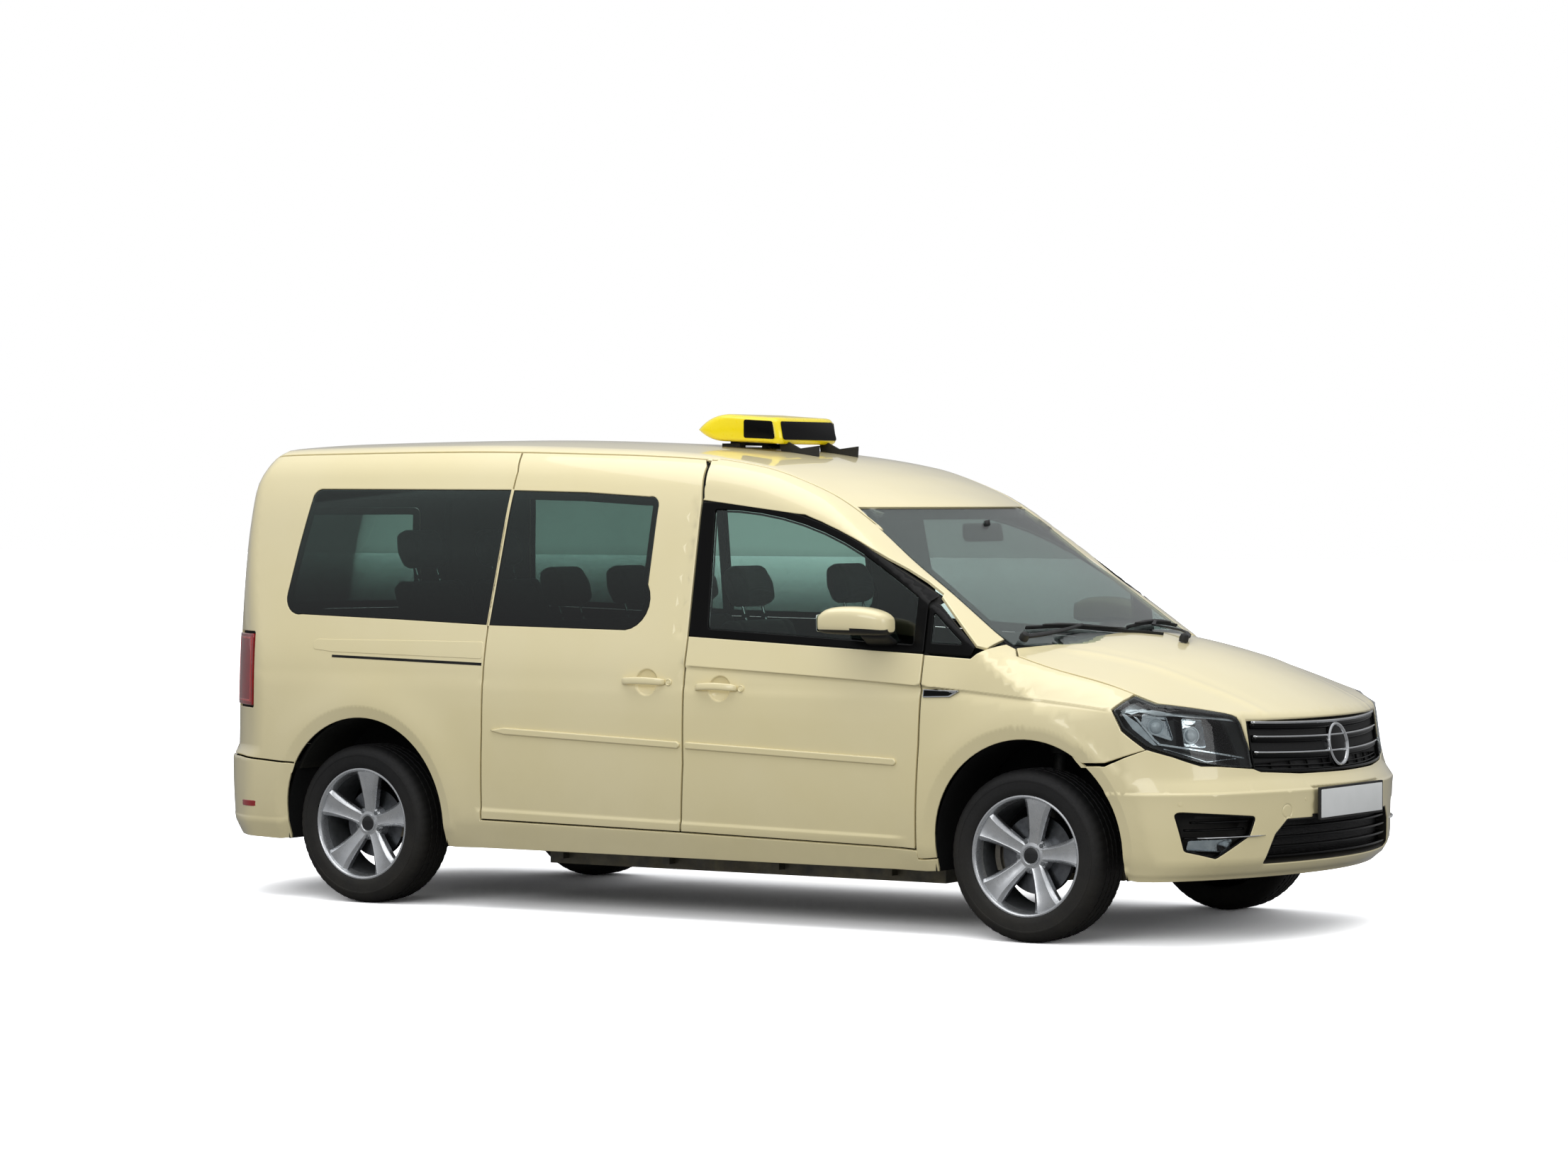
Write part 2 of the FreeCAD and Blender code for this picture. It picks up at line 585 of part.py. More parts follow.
# ---- floor, bulkhead and rails -----------------------------------------------------------
floor_half = under_y - wall
load_floor_z = 520.0
rail_z = 440.0              # underside of the rear floor's rails
floor = [
    box(kick_x, 1165, -floor_half, floor_half, sill_z + 12, sill_z + 40),
    box(kick_x - 28, kick_x, -floor_half, floor_half, sill_z + 12, load_floor_z + 28),
    inner.common(box(tail_x + 60, kick_x, -1000, 1000, load_floor_z, load_floor_z + 28)),
]
for y in (-530, 500):
    floor.append(box(tail_x + 60, kick_x, y, y + 30, rail_z, load_floor_z).common(inner))
tub = arch_space(rear_arch_x, arch_radius + 8, far, -552).common(inner)
tub = tub.cut(arch_space(rear_arch_x, arch_radius, far, -560))
tub = tub.common(box(-past, past, far, 0, load_floor_z, 900))
floor_pan = fuse(floor).cut(both(arch_space(rear_arch_x, arch_radius, far, -560)))
nodes["floor_pan"] = fuse([floor_pan] + both(tub).Solids)

# front frame: bulkhead, two rails, radiator panel, bumper beam, and suspension towers with the bonnet's
# hinge plates
beam_front = nose_x - wall - 129
beam_back = beam_front - 62
bulkhead = inner.common(box(1145, 1165, -1000, 1000, sill_z + 40, 939.7)).cut(both(hinge_post))
radiator_back = beam_back - 20
tow_hole = cylinder(tow_thread / 2, beam_front - beam_back, (beam_back, *tow_eye), (1, 0, 0))
front_frame = [
    biggest(bulkhead), box(radiator_back, beam_back, -500, 500, 300, 760),
    box(beam_back, beam_front, -560, 560, 440, 520).cut(tow_hole),
]
for y in (-430, 400):
    front_frame.append(box(1165, radiator_back, y, y + 30, 420, 520))
tower = box(1500, 1664, -640, -400, 850, 862).fuse(box(1500, 1512, -640, -400, 520, 862))
tower = tower.cut(box(1490, 1515, -700, -431, 300, 700))
for y in (-bonnet_lug_y - 17, -bonnet_lug_y + 7):
    plate = box(1626, 1654, y, y + 10, 862, bonnet_axis[1] + 10)
    eye = cylinder(bonnet_pin + hinge_play, 40, (bonnet_axis[0], y - 10, bonnet_axis[1]), (0, 1, 0))
    tower = tower.fuse(plate.cut(eye))
nodes["front_frame"] = together(front_frame + [both(tower)])

# scuttle: a tray between the bulkhead and the foot of the windscreen, with a riser under the glass
RISER = [(1314, -690), ((1427, 0), (1314, 690)), (1359, 690), ((1472, 0), (1359, -690))]
TRAY_FRONT = [(1330, -690), (1330, 690), (1359, 690), ((1472, 0), (1359, -690))]
scuttle = box(1145, 1330, -690, 690, 940, 965).fuse(plan_prism(RISER, 940, 1120))
scuttle = scuttle.fuse(plan_prism(TRAY_FRONT, 940, 965))
scuttle = scuttle.common(behind_screen(glass_sink + glass + 0.3)).common(inner).cut(both(hinge_post))
nodes["scuttle"] = biggest(scuttle.removeSplitter())

# ---- front doors, mirrors ----------------------------------------------------------------
MIRROR_SIDE = [
    (770, 1106), (782, 1168), ((800, 1194), (850, 1204)), (940, 1204), ((1010, 1192), (1052, 1160)),
    (1040, 1100),
]
MIRROR_PLAN = [(760, -915), (790, -1030), (960, -1030), ((1030, -1000), (1056, -905)), (760, -905)]
head = side_prism(MIRROR_SIDE, -1030, -905).common(plan_prism(MIRROR_PLAN, 1000, 1300))
arm = box(900, 1010, -906, -855, 1070, 1102).fuse(box(880, 1030, -960, -905, 1076, 1106))
mirror = arm.fuse(head).cut(side_form(0)).removeSplitter()
nodes["front_door_right"] = front_door
nodes["front_door_left"] = mirrored(front_door)
nodes["front_glass_right"] = front_pane
nodes["front_glass_left"] = mirrored(front_pane)
nodes["mirror_right"] = mirror
nodes["mirror_left"] = mirrored(mirror)

# ---- wheels ------------------------------------------------------------------------------
# a right-hand wheel about the Y axis through the origin, its outside towards -Y
flange = tyre_width / 2 - 8          # half-width over the rim's flanges
bead = flange - 6.5                  # half-width between them
seat_radius = rim_radius - 12        # the bead seat
rim_wall = 8.0
caliper_radius = seat_radius - rim_wall - 30      # the calipers stay inside this
front_disc = caliper_radius - 26
rear_disc = caliper_radius - 34
bead_play = 0.4
RIM = [   # radius, y
    (rim_radius, -flange), (rim_radius, -bead), (seat_radius, -bead), (seat_radius, bead), (rim_radius, bead),
    (rim_radius, flange), (seat_radius - rim_wall, flange), (seat_radius - rim_wall, -flange),
]
TYRE = [
    (seat_radius + bead_play, -bead + bead_play), (rim_radius + bead_play, -bead + bead_play),
    (rim_radius + bead_play, -tyre_width / 2), (tyre_radius - 23, -tyre_width / 2),
    (tyre_radius, -tyre_width / 2 + 25), (tyre_radius, tyre_width / 2 - 25),
    (tyre_radius - 23, tyre_width / 2),
    (rim_radius + bead_play, tyre_width / 2), (rim_radius + bead_play, bead - bead_play),
    (seat_radius + bead_play, bead - bead_play),
]
spokes = 5
hub_face = -50.0           # the wheel's mounting face
hub_radius = 62.0
spindle_radius = 20.0
spoke_root = 31.0          # half-width at the hub
spoke_tip = 46.0           # half-width at the rim


def revolved(points):
    return outline(points, lambda r, y: V(r, y, 0)).revolve(V(0, 0, 0), V(0, 1, 0), 360)


def spoke():
    """One spoke, straight up from the hub: a flat middle between two bevelled sides, wider at its tip."""
    tip = math.sqrt((seat_radius - 1) ** 2 - spoke_tip ** 2)      # its corners stay inside the rim
    front = [(-spoke_root, 45), (spoke_root, 45), (spoke_tip, tip), (-spoke_tip, tip)]
    body = outline(front, lambda x, z: V(x, -90, z)).extrude(V(0, 90 + hub_face, 0))
    section = [(-spoke_tip, 0), (-spoke_tip, -74), (-24, -90), (24, -90), (spoke_tip, -74), (spoke_tip, 0)]
    return body.common(outline(section, lambda x, y: V(x, y, 0)).extrude(V(0, 0, tip + 5)))


def wheel():
    hub = cylinder(hub_radius, 36, (0, hub_face - 36, 0), (0, 1, 0))
    parts = [revolved(RIM), hub]
    parts += [turned(spoke(), (0, 0, 0), (0, 1, 0), 360 / spokes * n) for n in range(spokes)]
    return fuse(parts)


def disc(radius):
    hat = tube(70, spindle_radius + hinge_play, -hub_face - 20, (0, hub_face, 0), (0, 1, 0))
    return hat.fuse(tube(radius, spindle_radius + hinge_play, 20, (0, -24, 0), (0, 1, 0))).removeSplitter()


rim_shape, tyre_shape = wheel(), revolved(TYRE)
wheels = (
    ("front", front_axle_x, front_track / 2, disc(front_disc)),
    ("rear", rear_axle_x, rear_track / 2, disc(rear_disc)),
)
for end, x, y, brake in wheels:
    for side, flip in (("right", False), ("left", True)):
        for name, shape in (("rim", together([rim_shape, brake])), ("tyre", tyre_shape)):
            fitted = shape.copy()
            fitted.translate(V(x, -y, axle_z))
            nodes[f"{name}_{end}_{side}"] = mirrored(fitted) if flip else fitted

# ---- front axle --------------------------------------------------------------------------
ball = (front_axle_x, -690.0, axle_z - 83)       # lower ball joint
strut_top = (front_axle_x, -560.0, 850.0)
kingpin = V(*strut_top) - V(*ball)
kingpin.normalize()


def on_kingpin(z):
    along = (z - ball[2]) / kingpin.z
    return tuple(V(*ball) + kingpin * along)


def kingpin_rod(radius, z0, z1):
    return rod(radius, on_kingpin(z0), on_kingpin(z1))


stub_end = -front_track / 2 + hub_face + 4
knuckle = fuse([
    box(front_axle_x - 42, front_axle_x + 42, -706, -652, axle_z - 60, axle_z + 75),
    kingpin_rod(28, 250, 425),
    cylinder(spindle_radius, -706 - stub_end, (front_axle_x, stub_end, axle_z), (0, 1, 0)),
])
caliper = box(front_axle_x - 175, front_axle_x - 90, -784, -700, axle_z - 62, axle_z + 62)
caliper = caliper.cut(cylinder(front_disc + 6, 34, (front_axle_x, -front_track / 2 - 30, axle_z), (0, 1, 0)))
caliper = caliper.common(cylinder(caliper_radius, 200, (front_axle_x, -850, axle_z), (0, 1, 0)))
bracket = box(front_axle_x - 130, front_axle_x - 40, -706, -692, axle_z - 40, axle_z + 40)
knuckle = fuse([knuckle, caliper, bracket])
knuckle = knuckle.cut(kingpin_rod(10 + hinge_play, 245, 290)).cut(kingpin_rod(12 + hinge_play, 385, 430))
nodes["knuckle_right"] = knuckle
nodes["knuckle_left"] = mirrored(knuckle)

strut = fuse([kingpin_rod(12, 388, 450), kingpin_rod(24, 428, 700), kingpin_rod(44, 664, 860)])
strut = strut.common(box(1400, 1700, -900, 0, 0, 849.7))
WISHBONE = [(1500, -380), (1545, -700), (1575, -700), (1700, -380), (1640, -380), (1560, -600), (1540, -380)]
arm = fuse([kingpin_rod(10, 236, 286), plan_prism(WISHBONE, 212, 238)])
subframe = fuse([
    box(1440, 1500, -420, 420, 200, 262), box(1640, 1720, -420, 420, 200, 262),
    box(1440, 1720, -420, -370, 200, 262), box(1440, 1720, 370, 420, 200, 262),
    box(1450, 1480, -430, -400, 262, 420), box(1660, 1700, -430, -400, 262, 420),
    box(1450, 1480, 400, 430, 262, 420), box(1660, 1700, 400, 430, 262, 420),
    cylinder(24, 760, (1450, -380, 284), (0, 1, 0)),
])
nodes["front_suspension"] = together([fuse([subframe] + both(arm).Solids), both(strut)])
drive_unit = box(1330, 1790, -330, 330, 330, 720)
shafts = [rod(14, (front_axle_x, side * 330, 345), (front_axle_x, side * 610, 318)) for side in (-1, 1)]
boots = [Part.makeCone(44, 24, 70, V(front_axle_x, side * 330, 345), V(0, side, -0.09)) for side in (-1, 1)]
mounts = [box(1540, 1600, -400, -330, 440, 500), box(1540, 1600, 330, 400, 440, 500)]
nodes["drive_unit"] = fuse([drive_unit] + shafts + boots + mounts)

# ---- rear axle ---------------------------------------------------------------------------
rear_stub = -rear_track / 2 + hub_face + 4
axle = fuse([
    cylinder(34, 1300, (rear_axle_x, -650, axle_z), (0, 1, 0)),
    cylinder(spindle_radius, -2 * rear_stub, (rear_axle_x, rear_stub, axle_z), (0, 1, 0)),
])
rear_caliper = box(rear_axle_x + 84, rear_axle_x + 165, -780, -700, axle_z - 50, axle_z + 50)
disc_room = cylinder(rear_disc + 6, 34, (rear_axle_x, -rear_track / 2 - 30, axle_z), (0, 1, 0))
rear_caliper = rear_caliper.cut(disc_room)
rear_caliper = rear_caliper.common(cylinder(caliper_radius, 200, (rear_axle_x, -850, axle_z), (0, 1, 0)))
rear_caliper = rear_caliper.fuse(box(rear_axle_x, rear_axle_x + 120, -712, -700, axle_z - 40, axle_z + 40))
rear_axle = fuse([axle] + both(rear_caliper).Solids)
spring_y = -520.0
leaf_low = axle_z + 27      # underside of the leaf at the axle
eye_z = 400.0
leaf_back, leaf_middle, leaf_front = (rear_axle_x + offset for offset in (-604, -14, 546))
leaf_points = [
    (leaf_back, eye_z - 8), ((leaf_middle, leaf_low), (leaf_front, eye_z - 8)),
    (leaf_front, eye_z + 4), ((leaf_middle, leaf_low + 12), (leaf_back, eye_z + 4)),
]
leaf = [side_prism(leaf_points, spring_y - 32, spring_y + 32)]
for x in (leaf_back, leaf_front):
    leaf.append(cylinder(22, 64, (x, spring_y - 32, eye_z), (0, 1, 0)))
    leaf.append(box(x - 25, x + 25, spring_y - 32, spring_y + 32, eye_z, rail_z - 0.2))
leaf.append(box(rear_axle_x - 50, rear_axle_x + 30, spring_y - 32, spring_y + 32, axle_z + 20, leaf_low + 8))
leaf = fuse(leaf)
leaf = leaf.cut(cylinder(34, 200, (rear_axle_x, spring_y - 100, axle_z), (0, 1, 0)))
nodes["rear_suspension"] = together([rear_axle, both(leaf)])
nodes["battery_tray"] = fuse([box(-760, 1040, -540, 540, 168, sill_z + 12)] + [
    box(x, x + 30, -580, 580, 190, sill_z + 12) for x in (-700, -200, 300, 800)])

# ---- cabin -------------------------------------------------------------------------------
seat_y = 372.0
seat_rows = (     # x of the hip point, height, width of one place, y of each place, back lean in degrees
    ("front_seats", 300, 560, 500, (-seat_y, seat_y), 18),
    ("passenger_seats", -480, 560, 445, (-455, 0, 455), 20),
    ("passenger_seats", placed(-1330), 700, 470, (-262, 262), 20),
)
CUSHION = [(-10, -105), (440, -95), (490, -60), (488, -5), (440, 34), (60, 2), (-10, 10)]
BACK = [(-60, -60), (58, -60), (66, 150), (48, 400), (26, 600), (-12, 622), (-58, 600), (-78, 300)]
HEAD = [(-46, 652), (44, 654), (56, 740), (34, 824), (-34, 824), (-58, 740)]


def seat(x, z, width, y, lean):
    """Cushion, back and head restraint of one place, each a closed pad, on a frame."""
    half = width / 2 - 4
    cushion = side_prism([(x + a, z + b) for a, b in CUSHION], y - half, y + half)

    def upright(points, half_width):
        pad = side_prism([(x + a, z + b) for a, b in points], y - half_width, y + half_width)
        return turned(pad, (x, y, z - 40), (0, 1, 0), -lean)

    back = upright(BACK, half - 6)
    head = upright(HEAD, 132)
    posts = []
    for offset in (-70, 70):
        post = cylinder(6, 90, (x - 8, y + offset, z + 590), (0, 0, 1))
        posts.append(turned(post, (x, y, z - 40), (0, 1, 0), -lean))
    return fuse([cushion.cut(back), back, head] + posts)


for name, x, z, width, places, lean in seat_rows:
    floor_top = sill_z + 40 if x > kick_x else load_floor_z + 28
    solids = []
    for y in places:
        plinth = box(x - 20, x + 420, y - 170, y + 170, floor_top, z - 80)
        solids.append(fuse([seat(x, z, width, y, lean), plinth]))
    nodes.setdefault(name, []).extend(solids)
for name in ("front_seats", "passenger_seats"):
    nodes[name] = together(nodes[name])

dash_profile = [
    (1144.7, 560), (1000, 560), (960, 640), ((850, 700), (830, 800)), ((820, 880), (860, 930)),
    ((1000, 985), (1144.7, 938)),
]
dash = side_prism(dash_profile, -740, 740).common(inner)
dial_hood = [(840, 915), (870, 985), ((950, 1000), (1040, 968)), (1040, 900)]
hood = side_prism(dial_hood, seat_y - 170, seat_y + 170)
console = box(520, 1040, -110, 110, sill_z + 40, 560)
nodes["dashboard"] = fuse([dash, hood, console])

wheel_tilt = 24.0
wheel_hub = (770.0, seat_y, 900.0)
column = V(-math.cos(math.radians(wheel_tilt)), 0, math.sin(math.radians(wheel_tilt)))
rim_ring = tube(191, 166, 24, (0, 0, -12), (0, 0, 1))
boss_disc = cylinder(62, 34, (0, 0, -26), (0, 0, 1))
arms = [box(-172, 172, -16, 16, -10, 2), box(-16, 16, -172, 0, -10, 2)]
steering = fuse([rim_ring, boss_disc] + arms).fuse(cylinder(18, 90, (0, 0, -112), (0, 0, 1)))
turn = FreeCAD.Rotation(V(0, 0, 1), column)
steering.Placement = FreeCAD.Placement(V(*wheel_hub), turn)
nodes["steering_wheel"] = steering
stalk = Part.makeCylinder(40, 130, V(*wheel_hub) - column * 158, column)
stalk = stalk.cut(Part.makeCylinder(18 + hinge_play, 130, V(*wheel_hub) - column * 158, column))
nodes["dashboard"] = nodes["dashboard"].cut(Part.makeCylinder(40, 130, V(*wheel_hub) - column * 158, column))
nodes["dashboard"] = nodes["dashboard"].cut(
    Part.makeCylinder(19, 130, V(*wheel_hub) - column * 158, column)).fuse(stalk)

# ---- roof sign ---------------------------------------------------------------------------
sign_half = 225.0
sign_z = 1866.0
SIGN = [
    (-292, sign_z), ((-230, sign_z + 44), (-140, sign_z + 60)), (60, sign_z + 46),
    ((80, sign_z + 40), (90, sign_z + 24)), (104, sign_z - 34), ((96, sign_z - 54), (76, sign_z - 58)),
    (-180, sign_z - 46), ((-250, sign_z - 28), (-292, sign_z)),
]
nodes["roof_sign"] = side_prism(SIGN, -sign_half, sign_half)
roof_cut = roof_form()
legs = []
for y in (-150, 138):
    legs.append(box(-170, -146, y, y + 12, 1760, sign_z - 40))
    legs.append(box(-200, -116, y - 14, y + 26, 1740, 1812))
    foot = [(70, 1740), (230, 1700), (236, 1800), (150, 1790), (96, sign_z - 50), (60, sign_z - 40)]
    legs.append(side_prism(foot, y, y + 12))
legs.append(box(-166, -150, -150, 150, sign_z - 62, sign_z - 46))
mount = fuse(legs).cut(roof_cut).cut(nodes["roof_sign"])
nodes["sign_bracket"] = together([solid for solid in mount.Solids if solid.Volume > 500])

# ---- write every node --------------------------------------------------------------------
for name, shape in nodes.items():
    shape.exportStep(f"parts/{name}.step")
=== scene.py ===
import bmesh
import bpy
import math
import numpy as np
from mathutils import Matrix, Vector
from mathutils.geometry import delaunay_2d_cdt


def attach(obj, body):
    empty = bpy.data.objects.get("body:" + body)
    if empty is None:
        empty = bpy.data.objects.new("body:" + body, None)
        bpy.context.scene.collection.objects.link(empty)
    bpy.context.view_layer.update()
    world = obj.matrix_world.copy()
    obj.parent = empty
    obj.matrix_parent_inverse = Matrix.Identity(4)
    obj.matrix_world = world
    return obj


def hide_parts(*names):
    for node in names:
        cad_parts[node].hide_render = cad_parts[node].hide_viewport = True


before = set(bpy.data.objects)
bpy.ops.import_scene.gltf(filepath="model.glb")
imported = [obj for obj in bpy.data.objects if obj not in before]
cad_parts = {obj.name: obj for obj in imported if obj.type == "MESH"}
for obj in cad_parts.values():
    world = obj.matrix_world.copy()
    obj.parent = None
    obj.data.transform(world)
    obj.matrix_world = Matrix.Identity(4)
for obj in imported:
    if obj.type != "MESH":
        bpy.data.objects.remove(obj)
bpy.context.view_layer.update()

# Tables and charts are in millimetres, in the CAD frame; meshes are in metres.
SIDES = (("right", 1), ("left", -1))              # the sign turns a right-hand point into that side's
ACROSS = (("right", -1), ("left", 1))             # the sign of y on each side
NOSE, TAIL = 2439.0, -2439.0
WAIST_Y, WAIST_Z, LEAN = 884.0, 985.0, 0.219      # the glasshouse leans in from the waist
SCREEN_RADIUS = 3450.0
RAIL_AXIS_Y, RAIL_RADIUS = 250.0, 480.0           # the flank's chart turns over the roof about here
ARC_STEPS = 8                                     # straight steps to an arc of an outline
ROOF_FROM, LID_FROM = 1000.0, 500.0               # heights that the charts' upward rays start from
PLAN_EDGE_Y = 1100.0                              # the bonnet's table runs on this far out


# ---- the body's outer form ---------------------------------------------------------------
def pchip(xs, ys):
    """A smooth curve through a table that never overshoots it, as a fast lookup."""
    xs, ys = np.array(xs, float), np.array(ys, float)
    order = np.argsort(xs)
    xs, ys = xs[order], ys[order]
    h, d = np.diff(xs), np.diff(ys) / np.diff(xs)
    m = np.zeros_like(xs)
    m[0], m[-1] = d[0], d[-1]
    for k in range(1, len(xs) - 1):
        if d[k - 1] * d[k] > 0:
            w1, w2 = 2 * h[k] + h[k - 1], h[k] + 2 * h[k - 1]
            m[k] = (w1 + w2) / (w1 / d[k - 1] + w2 / d[k])
    fine = np.linspace(xs[0], xs[-1], 1600)
    k = np.clip(np.searchsorted(xs, fine, side="right") - 1, 0, len(h) - 1)
    t = (fine - xs[k]) / h[k]
    out = ((1 + 2 * t) * (1 - t) ** 2 * ys[k] + t * (1 - t) ** 2 * h[k] * m[k]
           + t * t * (3 - 2 * t) * ys[k + 1] + t * t * (t - 1) * h[k] * m[k + 1])
    return lambda x: np.interp(x, fine, out)


# x, roof centre height, rail height, rail half-width, height where the rail turns
CAB = [
    (-2460, 1785, 1753, 610, 1610), (-1900, 1822, 1790, 635, 1650), (-1100, 1831, 1799, 640, 1650),
    (-400, 1812, 1782, 640, 1645), (0, 1788, 1760, 640, 1632), (300, 1748, 1718, 640, 1604),
    (520, 1692, 1650, 640, 1562), (720, 1612, 1558, 642, 1492), (1000, 1490, 1352, 668, 1332),
    (1520, 1180, 1040, 770, 1000),
]
# x, shoulder height, wing turn (y, z), bonnet edge (y, z), bonnet centre height
FRONT = [
    (1340, 905, 852, 985, 775, 1058, 1108), (1586, 880, 848, 940, 772, 995, 1094),
    (1848, 858, 842, 903, 780, 940, 1040), (2059, 842, 838, 862, 788, 872, 967),
    (2250, 760, 800, 790, 700, 812, 880), (2460, 640, 760, 690, 600, 716, 765),
]
# height, how far the nose and the tail lie behind the bumpers' furthest points
LEVELS = [
    (240, 74, 54), (320, 10, 10), (548, 0, 0), (600, 30, 32), (800, 66, 36), (1150, 110, 54),
    (1620, 200, 122), (1850, 300, 290),
]


def columns(rows):
    """A smooth curve for each column of a table, by its first column."""
    rows = list(zip(*rows))
    return [pchip(rows[0], column) for column in rows[1:]]


crown_z, rail_z, rail_y, turn_z = columns(CAB)
shoulder_z, wing_y, wing_z, edge_y, edge_z, bonnet_z = columns(FRONT)
nose_back, tail_back = columns(LEVELS)
roll = pchip([-2460, 300, 520, 720, 1000, 1520], [105, 105, 95, 70, 42, 40])
crease_z = pchip([-2440, -1700, -815, 109, 1142, 1731, 1932, 2440],
                 [1030, 1022, 1006, 969, 916, 867, 848, 800])


def smax(a, b, k):
    """The larger of two, with the corner between them rounded over about k."""
    h = np.maximum(k - np.abs(a - b), 0.0) / k
    return np.maximum(a, b) + h * h * k * 0.25


def smin(a, b, k):
    return -smax(-a, -b, k)


def smooth(t):
    t = np.clip(t, 0.0, 1.0)
    return t * t * (3 - 2 * t)


def side_half(x, z):
    """Half-width of the body at a height: a round flank under a straight leaning glasshouse."""
    belly = np.interp(z, *flank_curve)
    plane = WAIST_Y - (z - WAIST_Z) * LEAN
    base = smin(belly, plane, 9.0)
    above = smooth((z - crease_z(x) + 9.0) / 9.0)
    door = belly + (plane - belly) * above
    share = smooth((x - 96) / 4) * (1 - smooth((x - 1141) / 220))
    return base + (door - base) * share


def arc_through(a, b, c):
    """Centre and radius of the circle through three points."""
    (ax, ay), (bx, by), (cx, cy) = a, b, c
    d = 2 * (ax * (by - cy) + bx * (cy - ay) + cx * (ay - by))
    aa, bb, cc = ax ** 2 + ay ** 2, bx ** 2 + by ** 2, cx ** 2 + cy ** 2
    ux = (aa * (by - cy) + bb * (cy - ay) + cc * (ay - by)) / d
    uy = (aa * (cx - bx) + bb * (ax - cx) + cc * (bx - ax)) / d
    return ux, uy, math.hypot(ax - ux, ay - uy)


heights = np.linspace(150, 1900, 900)
flank_y, flank_z, flank_r = arc_through((866, 318), (897, 690), (WAIST_Y, WAIST_Z))
flank_arc = flank_y + np.sqrt(np.maximum(flank_r ** 2 - (heights - flank_z) ** 2, 0))
flank_curve = (heights, smin(flank_arc, 866 + (heights - 318) * 30 / 78, 4.0))
screen_pitch = math.atan(0.684)
screen_in = np.array([-math.sin(screen_pitch), 0, -math.cos(screen_pitch)])
screen_mid = np.array([799.0, 0, 1573.0]) + screen_in * SCREEN_RADIUS


def screen_out(x, y, z):
    """How far a point lies in front of the windscreen's surface."""
    dx, dz = x - screen_mid[0], z - screen_mid[2]
    along = dx * screen_in[0] + dz * screen_in[2]
    return np.hypot(along, y) - SCREEN_RADIUS


def bonnet_height(x, y):
    """The bonnet and wing tops: a smooth curve across the car at each x."""
    ys = np.array([np.zeros_like(x), edge_y(x), wing_y(x), np.full_like(x, WAIST_Y),
                   np.full_like(x, PLAN_EDGE_Y)])
    zs = [bonnet_z(x), edge_z(x), wing_z(x), shoulder_z(x)]
    zs.append(zs[3] + (zs[3] - zs[2]) * (PLAN_EDGE_Y - WAIST_Y) / (WAIST_Y - ys[2]))
    zs = np.array(zs)
    d = np.diff(zs, axis=0) / np.diff(ys, axis=0)
    m = np.zeros_like(zs)
    m[1:4] = 2 * d[:-1] * d[1:] / np.minimum(d[:-1] + d[1:], -1e-6)
    m[4] = d[3]
    out = zs[0].copy()
    for k in range(4):
        h = ys[k + 1] - ys[k]
        t = (y - ys[k]) / h
        here = (1 + 2 * t) * (1 - t) ** 2 * zs[k] + t * (1 - t) ** 2 * h * m[k]
        here = here + t * t * (3 - 2 * t) * zs[k + 1] + t * t * (t - 1) * h * m[k + 1]
        out = np.where(y >= ys[k], here, out)
    return out


def form(x, y, z):
    """Negative inside the body, nearly a distance."""
    y = np.abs(y)
    side = (y - side_half(x, z)) * 0.98
    r, ry, c = rail_z(x), rail_y(x), crown_z(x)
    reach = np.maximum(WAIST_Y - (r - WAIST_Z) * LEAN - ry, 20.0)
    slope = np.maximum(-2 * (c - r) / ry, -0.5 * (r - turn_z(x)) / reach)
    top = np.where(y < ry, c - (c - r) * (y / ry) ** 2, r + slope * (y - ry))
    roof = (z - top) * 0.95
    cab = smax(smax(roof, side, roll(x)), screen_out(x, y, z), 16.0)
    bonnet = smax((z - bonnet_height(x, y)) * 0.85, side, 7.0)
    body = smin(cab, bonnet, 12.0)
    nose_plan = 3.394e-4 * y ** 2 + 17 * (np.maximum(y - 640, 0) / 145) ** 3.56
    tail_plan = 4.167e-4 * y ** 2 + 38.2 * (np.maximum(y - 600, 0) / 185) ** 2.544
    nose = (x - (NOSE - nose_back(z) - nose_plan)) * 0.9
    tail = (TAIL + tail_back(z) + tail_plan - x) * 0.9
    return smax(smax(body, nose, 16.0), tail, 30.0)


def cast(origin, direction, reach=1500.0):
    """Where rays from inside the body leave it."""
    low = np.zeros(len(origin))
    high = np.full(len(origin), reach)
    for _ in range(24):
        mid = (low + high) / 2
        p = origin + direction * mid[:, None]
        inside = form(p[:, 0], p[:, 1], p[:, 2]) < 0
        low, high = np.where(inside, mid, low), np.where(inside, high, mid)
    return origin + direction * ((low + high) / 2)[:, None]


def gradient(function, p, e=0.6):
    out = np.zeros_like(p)
    for k in range(3):
        step = np.zeros(3)
        step[k] = e
        a, b = p + step, p - step
        out[:, k] = (function(a[:, 0], a[:, 1], a[:, 2]) - function(b[:, 0], b[:, 1], b[:, 2])) / (2 * e)
    return out


def unit(v):
    return v / np.maximum(np.linalg.norm(v, axis=-1, keepdims=True), 1e-9)


# ---- charts: flat maps of the body's skin ------------------------------------------------
flank_zc = pchip([-2460, 500, 1000, 1300, 1460, 2440], [1300, 1300, 1010, 860, 790, 500])


